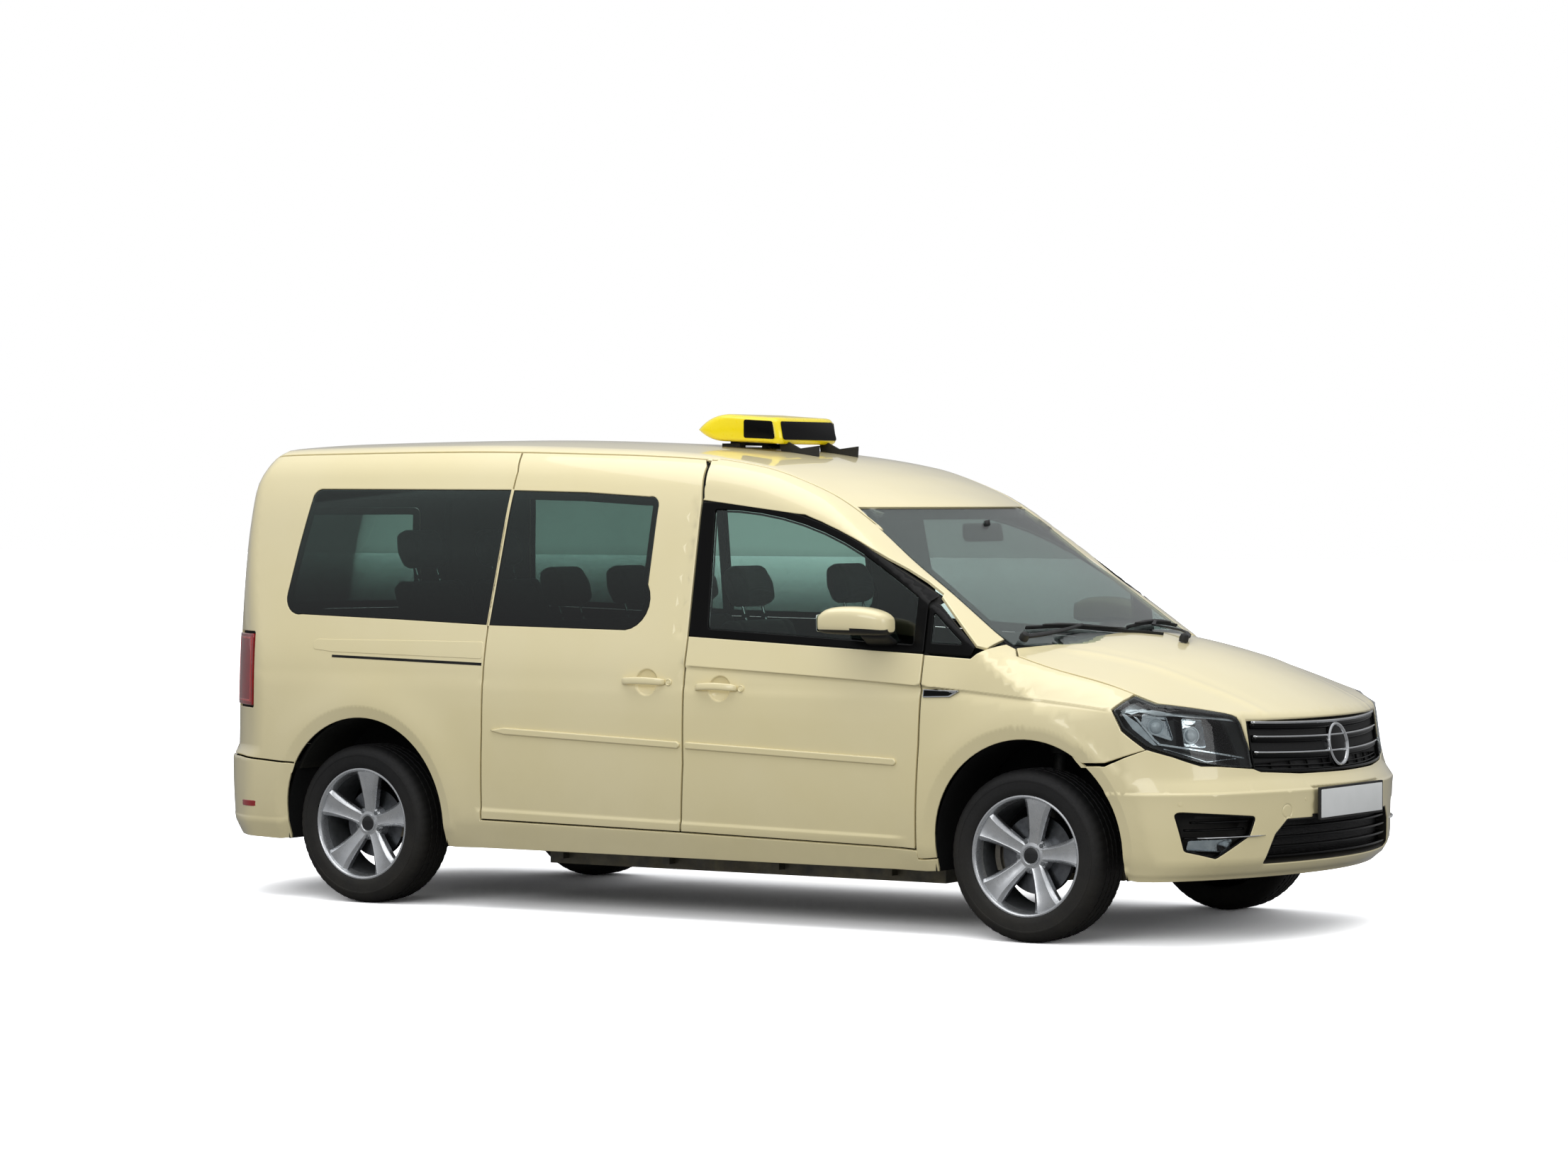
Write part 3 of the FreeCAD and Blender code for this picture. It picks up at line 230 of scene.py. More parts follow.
class Flank:
    """The right-hand side: x along, height up to the waist, then round over the roof rail."""
    def rays(self, u, v):
        zc = flank_zc(u)
        phi = np.clip((v - zc) / RAIL_RADIUS, 0, 2.2)
        zero = np.zeros_like(u)
        origin = np.stack([u, zero - RAIL_AXIS_Y, np.minimum(v, zc)], 1)
        return origin, np.stack([zero, -np.cos(phi), np.sin(phi)], 1)

    def flat(self, p):
        zc = flank_zc(p[:, 0])
        phi = np.arctan2(p[:, 2] - zc, np.maximum(-p[:, 1] - RAIL_AXIS_Y, 1e-3))
        return np.stack([p[:, 0], np.where(p[:, 2] < zc, p[:, 2], zc + phi * RAIL_RADIUS)], 1)


class Plan:
    """Seen from above: x along, y across."""
    def __init__(self, base):
        self.base = base

    def rays(self, u, v):
        origin = np.stack([u, v, np.full_like(u, self.base)], 1)
        return origin, np.tile([0.0, 0.0, 1.0], (len(u), 1))

    def flat(self, p):
        return p[:, :2].copy()


class End:
    """Seen from the front or the back: y across, height up."""
    def __init__(self, sign):
        self.sign = sign

    def rays(self, u, v):
        origin = np.stack([np.full_like(u, 1900.0 * self.sign), u, v], 1)
        return origin, np.tile([float(self.sign), 0.0, 0.0], (len(u), 1))

    def flat(self, p):
        return p[:, 1:].copy()


class Wrap:
    """Round the nose or the tail: distance round the corner across, height up."""
    def __init__(self, sign):
        self.sign, self.xc, self.yc, self.radius = sign, 1950.0, 480.0, 415.0
        self.turn = self.yc + self.radius * math.pi / 2

    def rays(self, u, v):
        side, s = np.sign(u), np.abs(u)
        theta = np.clip((s - self.yc) / self.radius, 0, math.pi / 2)
        x = self.xc - np.maximum(s - self.turn, 0)
        y = np.minimum(s, self.yc)
        origin = np.stack([x * self.sign, y * side, v], 1)
        return origin, np.stack([np.cos(theta) * self.sign, np.sin(theta) * side, np.zeros_like(u)], 1)

    def flat(self, p):
        x, y = p[:, 0] * self.sign, np.abs(p[:, 1])
        theta = np.arctan2(y - self.yc, x - self.xc)
        corner = self.yc + self.radius * theta
        s = np.where(y < self.yc, y, np.where(x < self.xc, self.turn + self.xc - x, corner))
        return np.stack([s * np.where(p[:, 1] < 0, -1, 1), p[:, 2]], 1)


FLANK, ROOF, LID, TAIL_END = Flank(), Plan(ROOF_FROM), Plan(LID_FROM), End(-1)
NOSE_WRAP, TAIL_WRAP = Wrap(1), Wrap(-1)


def flank(points):
    """Places in side view (x, z), found on the side of the body and laid flat."""
    return FLANK.flat(on_side(points))


def anticlockwise(ring):
    return ring if area(ring) > 0 else ring[::-1]


def rounded(points, radius=0.0):
    """Corner points to a polyline. A pair of pairs is an arc's middle and end, as in part.py."""
    out = [tuple(map(float, points[0]))]
    for item in points[1:]:
        if isinstance(item[0], (tuple, list)):
            a, b, c = out[-1], item[0], item[1]
            ux, uy, r = arc_through(a, b, c)
            t0, t1, t2 = (math.atan2(q[1] - uy, q[0] - ux) for q in (a, b, c))
            sweep = (t2 - t0) % (2 * math.pi)
            if (t1 - t0) % (2 * math.pi) > sweep:
                sweep -= 2 * math.pi
            for k in range(1, ARC_STEPS + 1):
                t = t0 + sweep * k / ARC_STEPS
                out.append((ux + r * math.cos(t), uy + r * math.sin(t)))
        else:
            out.append(tuple(map(float, item)))
    if radius:
        out = fillet(out, radius)
    return np.array(out)


def fillet(points, radius, steps=5):
    """Rounds a closed polyline's sharp corners."""
    n, out = len(points), []
    for k in range(n):
        a, b, c = (np.array(points[(k + j) % n], float) for j in (-1, 0, 1))
        d1, d2 = a - b, c - b
        l1, l2 = np.linalg.norm(d1), np.linalg.norm(d2)
        turn = math.pi - math.acos(np.clip(np.dot(d1, d2) / max(l1 * l2, 1e-9), -1, 1))
        cut = min(radius * math.tan(turn / 2), l1 * 0.45, l2 * 0.45)
        if turn < 0.2 or cut < 0.5:
            out.append(tuple(b))
            continue
        p, q = b + d1 / l1 * cut, b + d2 / l2 * cut
        for j in range(steps + 1):
            t = j / steps
            out.append(tuple(p * (1 - t) ** 2 + b * 2 * t * (1 - t) + q * t * t))
    return out


def spaced(ring, step):
    """A closed polyline with even spacing that keeps its corners."""
    out = []
    n = len(ring)
    for k in range(n):
        a, b = ring[k], ring[(k + 1) % n]
        count = max(1, int(round(np.linalg.norm(b - a) / step)))
        for j in range(count):
            out.append(a + (b - a) * j / count)
    keep = []
    for p in out:
        if not keep or np.linalg.norm(p - keep[-1]) > 1.2:
            keep.append(p)
    if np.linalg.norm(keep[0] - keep[-1]) < 1.2:
        keep.pop()
    return np.array(keep)


def area(ring):
    x, y = ring[:, 0], ring[:, 1]
    return 0.5 * np.sum(x * np.roll(y, -1) - y * np.roll(x, -1))


def inwards(ring, amount):
    """A closed polyline moved to its left by amount."""
    back, ahead = ring - np.roll(ring, 1, 0), np.roll(ring, -1, 0) - ring
    n1 = unit(np.stack([-back[:, 1], back[:, 0]], 1))
    n2 = unit(np.stack([-ahead[:, 1], ahead[:, 0]], 1))
    n = unit(n1 + n2)
    stretch = 1 / np.maximum(np.sum(n * n1, 1), 0.5)
    return ring + n * (amount * stretch)[:, None]


def inside(points, rings):
    """Even-odd test against several closed polylines."""
    hit = np.zeros(len(points), bool)
    for ring in rings:
        a, b = ring, np.roll(ring, -1, 0)
        for k in range(0, len(points), 4000):
            p = points[k:k + 4000]
            crosses = (a[None, :, 1] > p[:, 1, None]) != (b[None, :, 1] > p[:, 1, None])
            dy = b[:, 1] - a[:, 1]
            dy = np.where(np.abs(dy) < 1e-12, 1e-12, dy)
            at = a[None, :, 0] + (p[:, 1, None] - a[None, :, 1]) * (b[:, 0] - a[:, 0])[None] / dy[None]
            hit[k:k + 4000] ^= (np.sum(crosses & (p[:, 0, None] < at), 1) % 2).astype(bool)
    return hit


def clearance(points, rings):
    """Distance to the nearest ring."""
    best = np.full(len(points), 1e9)
    for ring in rings:
        a, d = ring, np.roll(ring, -1, 0) - ring
        dd = np.maximum(np.sum(d * d, 1), 1e-9)
        for k in range(0, len(points), 3000):
            p = points[k:k + 3000]
            t = np.clip(np.sum((p[:, None] - a[None]) * d[None], 2) / dd[None], 0, 1)
            q = a[None] + d[None] * t[:, :, None]
            best[k:k + 3000] = np.minimum(best[k:k + 3000], np.min(np.linalg.norm(p[:, None] - q, axis=2), 1))
    return best


# ---- meshes ------------------------------------------------------------------------------
def linked(name, data):
    """A new object that is in the scene."""
    obj = bpy.data.objects.new(name, data)
    bpy.context.scene.collection.objects.link(obj)
    return obj


def new_object(name, verts, faces, materials, body, indices=None, normals=None):
    mesh = bpy.data.meshes.new(name)
    mesh.from_pydata([tuple(v) for v in np.asarray(verts) * 0.001], [], [tuple(f) for f in faces])
    for material in materials:
        mesh.materials.append(material)
    if indices is not None:
        mesh.polygons.foreach_set("material_index", np.asarray(indices, np.int32))
    mesh.polygons.foreach_set("use_smooth", np.full(len(mesh.polygons), True))
    mesh.update()
    if normals is not None:
        mesh.normals_split_custom_set_from_vertices([tuple(n) for n in unit(np.asarray(normals))])
    obj = linked(name, mesh)
    if body:
        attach(obj, body)
    return obj


def mirrored_copy(obj, name, body):
    """The left-hand copy of a right-hand piece."""
    mesh = obj.data
    n = len(mesh.vertices)
    co = np.empty(n * 3)
    mesh.vertices.foreach_get("co", co)
    co = co.reshape(-1, 3) * [1, -1, 1] * 1000
    normals = None
    if mesh.has_custom_normals:
        loops = np.empty(len(mesh.loops) * 3)
        mesh.corner_normals.foreach_get("vector", loops)
        index = np.empty(len(mesh.loops), np.int32)
        mesh.loops.foreach_get("vertex_index", index)
        normals = np.zeros((n, 3))
        np.add.at(normals, index, loops.reshape(-1, 3) * [1, -1, 1])
    faces = [tuple(reversed(p.vertices)) for p in mesh.polygons]
    indices = [p.material_index for p in mesh.polygons]
    return new_object(name, co, faces, list(mesh.materials), body, indices, normals)


def panel(name, chart, rings, materials, body, depth=40.0, edge=11.0, lift=0.0, shape=None, step=30.0,
          hem=3.0, guides=(), border=14.0, margin=14.0, bowl=False):
    """A pressed panel: a skin on the chart, its edges folded in, and an inner layer at depth.

    rings are the outline and the holes, in the chart; shape(x, y, z) is the pressing's height."""
    rings = [spaced(np.asarray(ring, float), border) for ring in rings]
    rings = [ring if (area(ring) > 0) == (k == 0) else ring[::-1] for k, ring in enumerate(rings)]
    inner = [inwards(ring, hem) for ring in rings]
    low, high = rings[0].min(0), rings[0].max(0)
    us = np.arange(low[0] + step * 0.3, high[0], step)
    vs = np.arange(low[1] + step * 0.3, high[1], step * 0.866)
    grid = np.array([(u + (j % 2) * step / 2, v) for j, v in enumerate(vs) for u in us])
    extra = [np.asarray(g, float) for g in guides if len(g)]
    if extra:
        guide = np.concatenate(extra)
        near = np.array([np.min(np.linalg.norm(guide - p, axis=1)) for p in grid]) > step * 0.45
        grid = np.concatenate([grid[near], guide])
    keep = inside(grid, inner)
    grid = grid[keep]
    grid = grid[clearance(grid, inner) > min(border, step) * 0.5]
    coords, edges = [], []
    for ring in inner:
        start = len(coords)
        coords += [Vector(p) for p in ring]
        edges += [(start + k, start + (k + 1) % len(ring)) for k in range(len(ring))]
    coords += [Vector(p) for p in grid]
    verts, _, faces, origin, _, _ = delaunay_2d_cdt(coords, edges, [], 0, 1e-4)
    flat = np.array([tuple(v) for v in verts])
    faces = np.array([tuple(f) for f in faces])
    middle = flat[faces].mean(1)
    faces = faces[inside(middle, inner)]
    new_of = {}
    for new, olds in enumerate(origin):
        for old in olds:
            new_of[old] = new

    def skin(uv):
        base = cast(*chart.rays(uv[:, 0], uv[:, 1]))
        n = unit(gradient(form, base))
        out, bent = base + n * lift, n
        if shape is not None:
            height = shape(base[:, 0], base[:, 1], base[:, 2])
            g = gradient(shape, base, 0.8)
            g -= n * np.sum(g * n, 1)[:, None]
            out, bent = out + n * height[:, None], unit(n - g)
        return out, bent

    top, normal = skin(flat)
    count = len(top)
    all_verts, all_normals = [top], [normal]
    all_faces = [faces[:0] if bowl else faces]
    all_index = [np.zeros(len(all_faces[0]), int)]
    total = count
    offset = 0
    border_low = []
    for ring in rings:
        n = len(ring)
        first = np.array([new_of[offset + k] for k in range(n)])
        offset += n
        outer_pt, outer_n = skin(ring)
        side = unit(outer_pt - top[first])
        side = unit(side - outer_n * np.sum(side * outer_n, 1)[:, None])
        mid = outer_pt - side * hem * 0.29 - outer_n * hem * 0.29
        corner = outer_pt - outer_n * hem
        foot = outer_pt - outer_n * edge
        block = [mid, corner, corner, foot]
        norms = [unit(outer_n + side), side, side, side]
        all_verts += block
        all_normals += norms
        rows = [first] + [total + j * n + np.arange(n) for j in range(4)]
        for a, b in ((0, 1), (1, 2), (3, 4)):
            ra, rb = rows[a], rows[b]
            quads = np.stack([ra, rb, np.roll(rb, -1), np.roll(ra, -1)], 1)
            all_faces.append(quads)
            all_index.append(np.zeros(len(quads), int))
        total += 4 * n
        border_low.append(foot)
    if depth:
        fall = edge + (depth - edge) * smooth((clearance(flat, inner) - margin) / 26.0)
        low_pts = top - normal * fall[:, None]
        offset = 0
        for foot in border_low:
            for k, point in enumerate(foot):
                low_pts[new_of[offset + k]] = point
            offset += len(foot)
        all_verts.append(low_pts)
        all_normals.append(normal if bowl else -normal)
        all_faces.append((faces if bowl else faces[:, ::-1]) + total)
        all_index.append(np.ones(len(faces), int))
    verts3 = np.concatenate(all_verts)
    normals3 = np.concatenate(all_normals)
    faces_out = [tuple(int(i) for i in f) for block in all_faces for f in block]
    index = np.concatenate(all_index)
    # faces must look the same way as their normals
    sample = faces[len(faces) // 2]
    a, b, c = top[sample]
    if np.dot(np.cross(b - a, c - a), normal[sample[0]]) < 0:
        faces_out = [tuple(reversed(f)) for f in faces_out]
    return new_object(name, verts3, faces_out, materials, body, index, normals3)


def pair(name, *args, bodies=("body", "body"), **kwargs):
    """A right-hand panel and its left-hand copy."""
    right = panel(name + "_right", *args, body=bodies[0], **kwargs)
    left = mirrored_copy(right, name + "_left", bodies[1])
    return right, left


def skin_at(chart, uv, lift=0.0):
    """Points on the skin and its normals, at places in a chart."""
    uv = np.asarray(uv, float)
    base = cast(*chart.rays(uv[:, 0], uv[:, 1]))
    normal = unit(gradient(form, base))
    return base + normal * np.reshape(lift, (-1, 1)), normal


def tube(name, path, ups, profile, material, body, scale=None):
    """A profile of (sideways, up) points carried along a path; its ends are closed."""
    path, ups = np.asarray(path, float), np.asarray(ups, float)
    n, m = len(path), len(profile)
    ahead = unit(np.gradient(path, axis=0))
    across = unit(np.cross(ahead, ups))
    up = np.cross(across, ahead)
    profile = np.asarray(profile, float)
    scale = np.ones(n) if scale is None else np.asarray(scale, float)
    points = path[:, None] + (across[:, None] * profile[None, :, :1]
                              + up[:, None] * profile[None, :, 1:]) * scale[:, None, None]
    faces = []
    for i in range(n - 1):
        j = i + 1
        faces += [(i * m + k, i * m + (k + 1) % m, j * m + (k + 1) % m, j * m + k) for k in range(m)]
    faces += [tuple(range(m))[::-1], tuple((n - 1) * m + k for k in range(m))]
    return new_object(name, points.reshape(-1, 3), faces, [material], body)


def round_profile(width, height, power=2.6, steps=14):
    """A rounded flat section, as (sideways, up)."""
    t = np.arange(steps) * 2 * math.pi / steps
    c, s_ = np.cos(t), np.sin(t)
    return np.stack([np.sign(c) * np.abs(c) ** (2 / power) * width / 2,
                     np.sign(s_) * np.abs(s_) ** (2 / power) * height / 2], 1)


def lathe(name, profile, centre, axis, materials, body, steps=48, indices=None):
    """A (radius, along) profile turned about an axis through centre."""
    axis = unit(np.asarray(axis, float))
    side_ = unit(np.cross(axis, [0.0, 0.0, 1.0] if abs(axis[2]) < 0.9 else [1.0, 0.0, 0.0]))
    other = np.cross(axis, side_)
    points, faces, index = [], [], []
    m = len(profile)
    for k in range(steps):
        a = 2 * math.pi * k / steps
        radial = side_ * math.cos(a) + other * math.sin(a)
        points += [np.asarray(centre) + radial * r + axis * t for r, t in profile]
    for k in range(steps):
        j = (k + 1) % steps
        for i in range(m - 1):
            if profile[i][0] < 1e-6:
                faces.append((k * m, k * m + 1, j * m + 1))
            elif profile[i + 1][0] < 1e-6:
                faces.append((k * m + i, k * m + i + 1, j * m + i))
            else:
                faces.append((k * m + i, k * m + i + 1, j * m + i + 1, j * m + i))
            index.append(indices[i] if indices else 0)
    obj = new_object(name, points, faces, materials, body, index)
    weld(obj)
    return obj


def lathe_pair(name, profile, centre, axis, materials, steps):
    """A turned piece of the fixed body and its left-hand copy."""
    for tag, s in SIDES:
        lathe(f"{name}_{tag}", profile, centre * [1, s, 1], axis * [1, s, 1], materials, "body", steps=steps)


def tube_pair(name, path, ups, profile, material, scale=None):
    """A swept piece of the fixed body and its left-hand copy."""
    for tag, s in SIDES:
        tube(f"{name}_{tag}", path * [1, s, 1], ups * [1, s, 1], profile, material, "body", scale)


def weld(obj, distance=0.00002):
    """Joins doubled points, turns the faces outwards and marks sharp edges."""
    work = bmesh.new()
    work.from_mesh(obj.data)
    bmesh.ops.remove_doubles(work, verts=work.verts, dist=distance)
    bmesh.ops.recalc_face_normals(work, faces=work.faces)
    for e in work.edges:
        e.smooth = len(e.link_faces) == 2 and e.calc_face_angle(0.0) < 0.6
    work.to_mesh(obj.data)
    work.free()
    return obj


def slab(name, outline_, place, depth, materials, body, bevel=3.0, segments=3):
    """A flat outline given a thickness and rounded edges; place turns (u, v, w) into a point."""
    ring = np.asarray(outline_, float)
    work = bmesh.new()
    low = [work.verts.new(Vector(place(u, v, 0.0)) * 0.001) for u, v in ring]
    high = [work.verts.new(Vector(place(u, v, depth)) * 0.001) for u, v in ring]
    work.faces.new(low[::-1])
    work.faces.new(high)
    for k in range(len(ring)):
        j = (k + 1) % len(ring)
        work.faces.new((low[k], low[j], high[j], high[k]))
    bmesh.ops.recalc_face_normals(work, faces=work.faces)
    if bevel:
        edges = [e for e in work.edges if e.calc_face_angle(0.0) > 0.5]
        bmesh.ops.bevel(work, geom=edges, offset=bevel * 0.001, segments=segments, profile=0.5,
                        affect="EDGES", clamp_overlap=True)
    mesh = bpy.data.meshes.new(name)
    work.to_mesh(mesh)
    work.free()
    for material in materials:
        mesh.materials.append(material)
    mesh.polygons.foreach_set("use_smooth", np.full(len(mesh.polygons), True))
    obj = linked(name, mesh)
    weld(obj)
    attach(obj, body)
    return obj


# ---- materials ---------------------------------------------------------------------------
class Nodes:
    """A shorthand for node trees."""
    def __init__(self, material):
        material.use_nodes = True
        self.tree = material.node_tree
        self.tree.nodes.clear()
        self.out = self.add("ShaderNodeOutputMaterial")

    def add(self, kind, **values):
        node = self.tree.nodes.new(kind)
        for key, value in values.items():
            if hasattr(node, key):
                setattr(node, key, value)
            else:
                node.inputs[key].default_value = value
        return node

    def link(self, a, b):
        self.tree.links.new(a, b)

    def noise(self, scale, detail=3.0, rough=0.5, stretch=None):
        coords = self.add("ShaderNodeTexCoord").outputs["Object"]
        if stretch:
            mapping = self.add("ShaderNodeMapping")
            mapping.inputs["Scale"].default_value = stretch
            self.link(coords, mapping.inputs["Vector"])
            coords = mapping.outputs["Vector"]
        node = self.add("ShaderNodeTexNoise")
        node.inputs["Scale"].default_value = scale
        node.inputs["Detail"].default_value = detail
        node.inputs["Roughness"].default_value = rough
        self.link(coords, node.inputs["Vector"])
        return node.outputs["Fac"]

    def spread(self, value, low, high, a=0.3, b=0.7):
        node = self.add("ShaderNodeMapRange")
        for key, number in (("From Min", a), ("From Max", b), ("To Min", low), ("To Max", high)):
            node.inputs[key].default_value = number
        self.link(value, node.inputs["Value"])
        return node.outputs["Result"]

    def mix(self, fac, a, b):
        node = self.add("ShaderNodeMix", data_type="RGBA")
        for socket, value in ((node.inputs[0], fac), (node.inputs[6], a), (node.inputs[7], b)):
            if isinstance(value, (tuple, list)):
                socket.default_value = (*value[:3], 1.0)
            elif isinstance(value, (int, float)):
                socket.default_value = value
            else:
                self.link(value, socket)
        return node.outputs[2]

    def math(self, operation, a, b=0.0):
        node = self.add("ShaderNodeMath", operation=operation)
        for socket, value in ((node.inputs[0], a), (node.inputs[1], b)):
            if isinstance(value, (int, float)):
                socket.default_value = value
            else:
                self.link(value, socket)
        return node.outputs[0]

    def bump(self, height, strength, distance, normal=None):
        node = self.add("ShaderNodeBump")
        node.inputs["Strength"].default_value = strength
        node.inputs["Distance"].default_value = distance
        self.link(height, node.inputs["Height"])
        if normal is not None:
            self.link(normal, node.inputs["Normal"])
        return node.outputs["Normal"]


def srgb(text):
    parts = [int(text[k:k + 2], 16) / 255 for k in (0, 2, 4)]
    return tuple(c / 12.92 if c <= 0.04045 else ((c + 0.055) / 1.055) ** 2.4 for c in parts)


def surface(name, colour, second=None, rough=0.5, rough_spread=0.1, metal=0.0, coat=0.0, tone=3.0,
            grain=400.0, grain_depth=0.0002, grain_strength=0.2, stretch=None, dust=0.0, sheen=0.0,
            ior=1.45, coat_rough=0.03):
    """A procedural surface: two tones by noise, uneven roughness, a fine grain, dust low on the car."""
    material = bpy.data.materials.new(name)
    n = Nodes(material)
    shader = n.add("ShaderNodeBsdfPrincipled")
    shader.inputs["Metallic"].default_value = metal
    shader.inputs["Coat Weight"].default_value = coat
    shader.inputs["Coat Roughness"].default_value = coat_rough
    shader.inputs["Sheen Weight"].default_value = sheen
    shader.inputs["IOR"].default_value = ior
    second = second or tuple(c * 0.86 for c in colour)
    base = n.mix(n.spread(n.noise(tone, 4.0, 0.6, stretch), 0.0, 1.0), colour, second)
    if dust:
        place = n.add("ShaderNodeSeparateXYZ")
        n.link(n.add("ShaderNodeTexCoord").outputs["Object"], place.inputs[0])
        low = n.spread(place.outputs["Z"], 1.0, 0.0, 0.12, 0.55)
        cloud = n.spread(n.noise(9.0, 6.0, 0.65), 0.2, 1.0)
        base = n.mix(n.math("MULTIPLY", n.math("MULTIPLY", low, cloud), dust), base, srgb("8d8368"))
    n.link(base, shader.inputs["Base Color"])
    n.link(n.spread(n.noise(tone * 6, 4.0, 0.6, stretch), rough - rough_spread / 2,
                    rough + rough_spread / 2), shader.inputs["Roughness"])
    if grain_strength:
        n.link(n.bump(n.noise(grain, 2.0, 0.5, stretch), grain_strength, grain_depth),
               shader.inputs["Normal"])
    n.link(shader.outputs[0], n.out.inputs["Surface"])
    return material


def pane(name, tint, opacity, shade=None):
    """Thin glass: what is behind it shows tinted, with a clear reflection on top."""
    material = bpy.data.materials.new(name)
    n = Nodes(material)
    clear = n.add("ShaderNodeBsdfTransparent")
    colour = tuple(tint)
    # With shade, the tint darkens towards the bottom of the pane: painted shade.
    if shade:
        place = n.add("ShaderNodeSeparateXYZ")
        n.link(n.add("ShaderNodeTexCoord").outputs["Object"], place.inputs[0])
        fall = n.spread(place.outputs["Z"], 0.0, 1.0, shade[0], shade[1])
        cloud = n.math("ADD", fall, n.spread(n.noise(1.4, 2.0), -0.05, 0.05))
        n.link(n.mix(cloud, tuple(c * shade[2] for c in colour), colour), clear.inputs["Color"])
    else:
        n.link(n.mix(n.spread(n.noise(1.2, 2.0), 0.0, 1.0), colour, tuple(c * 0.95 for c in colour)),
               clear.inputs["Color"])
    body = n.add("ShaderNodeBsdfPrincipled")
    body.inputs["Base Color"].default_value = (*srgb("1a2423"), 1.0)
    body.inputs["IOR"].default_value = 1.5
    n.link(n.spread(n.noise(30.0, 5.0), 0.0, 0.045), body.inputs["Roughness"])
    fresnel = n.add("ShaderNodeFresnel")
    fresnel.inputs["IOR"].default_value = 1.52
    share = n.math("ADD", n.math("MULTIPLY", fresnel.outputs[0], 0.85), opacity)
    mixer = n.add("ShaderNodeMixShader")
    n.link(share, mixer.inputs[0])
    n.link(clear.outputs[0], mixer.inputs[1])
    gloss = n.add("ShaderNodeBsdfGlossy")
    gloss.inputs["Roughness"].default_value = 0.015
    inner = n.add("ShaderNodeMixShader")
    inner.inputs[0].default_value = 0.5 if opacity > 0.02 else 0.02
    n.link(gloss.outputs[0], inner.inputs[1])
    n.link(body.outputs[0], inner.inputs[2])
    n.link(inner.outputs[0], mixer.inputs[2])
    n.link(mixer.outputs[0], n.out.inputs["Surface"])
    return material


PAINT = surface("ivory_paint", srgb("f1e5b9"), srgb("ecdfae"), rough=0.34, rough_spread=0.05, coat=0.9,
                tone=1.2, grain=900.0, grain_depth=0.00003, grain_strength=0.12, dust=0.10)
# Black for seals, slots, jambs and the hidden inner faces of panels: the seals' own black, and painted shade
# where a painted jamb or inner face lies in shadow.
SEAL_AND_SHADE_BLACK = surface("shut_line_black", srgb("0a0a0a"), rough=0.75, tone=30, grain=300)
INNER = surface("door_lining", srgb("2b2c2d"), srgb("222324"), rough=0.72, tone=5, grain=700,
                grain_depth=0.0006, grain_strength=0.5)
HEADLINING = surface("headlining", srgb("8f8f89"), srgb("84847e"), rough=0.95, tone=8, grain=1200,
                     grain_depth=0.0005, grain_strength=0.6, sheen=0.2)
BLACK_GLOSS = surface("gloss_black_trim", srgb("050505"), srgb("090909"), rough=0.22, rough_spread=0.06,
                      tone=6, grain=800, grain_strength=0.05, ior=1.22)
BLACK_TRIM = surface("grained_black_plastic", srgb("141414"), srgb("1b1b1b"), rough=0.55, tone=7,
                     grain=1500, grain_depth=0.0004, grain_strength=0.45, dust=0.15)
RUBBER = surface("rubber_seal", srgb("0c0c0c"), srgb("151515"), rough=0.8, tone=12, grain=900,
                 grain_depth=0.0003)
CHROME = surface("bright_chrome", srgb("d9dbdd"), srgb("c8cacc"), rough=0.1, rough_spread=0.06,
                 metal=1.0, tone=10, grain=500, grain_strength=0.04)
SATIN = surface("satin_silver", srgb("b9bcbf"), srgb("a9acaf"), rough=0.3, rough_spread=0.1, metal=1.0,
                tone=12, grain=600, grain_strength=0.06)
# The privacy glass and the door glass darken towards their lower edges: painted shade.
DARK_GLASS = pane("privacy_glass", srgb("c6d6d1"), 0.05, shade=(1.10, 1.40, 0.35))
CLEAR_GLASS = pane("green_glass", srgb("eff8f5"), 0.0)
DOOR_GLASS = pane("door_glass_tint", srgb("e2eeea"), 0.0, shade=(1.10, 1.30, 0.72))
FRIT = surface("ceramic_frit", srgb("040505"), srgb("080909"), rough=0.3, tone=40, grain=900,
               grain_strength=0.1, ior=1.22)


# ---- shut lines, drawn in side view (x, z), as in part.py --------------------------------
def on_side(points):
    """Places in side view (x, z), carried out to the body's right-hand side."""
    points = np.asarray(points, float)
    origin = np.stack([points[:, 0], points[:, 0] * 0 - 100.0, points[:, 1]], 1)
    return cast(origin, np.tile([0.0, -1.0, 0.0], (len(points), 1)))


def on_end(points, start, sign=1.0):
    """Places in front or rear view (y, z), carried along x from start to the skin."""
    points = np.asarray(points, float)
    origin = np.stack([points[:, 0] * 0 + start, points[:, 0], points[:, 1]], 1)
    return cast(origin, np.tile([sign, 0.0, 0.0], (len(points), 1)))


def on_plan(points, base):
    """Places in plan (x, y), carried up from base to the skin."""
    points = np.asarray(points, float)
    origin = np.stack([points[:, 0], points[:, 1], points[:, 0] * 0 + base], 1)
    return cast(origin, np.tile([0.0, 0.0, 1.0], (len(points), 1)))


def dense(points, step=25.0):
    """An open polyline with even spacing that keeps its corners."""
    out = []
    for a, b in zip(points, points[1:]):
        a, b = np.array(a, float), np.array(b, float)
        count = max(1, int(np.linalg.norm(b - a) / step))
        out += [a + (b - a) * k / count for k in range(count)]
    out.append(np.array(points[-1], float))
    return np.array(out)


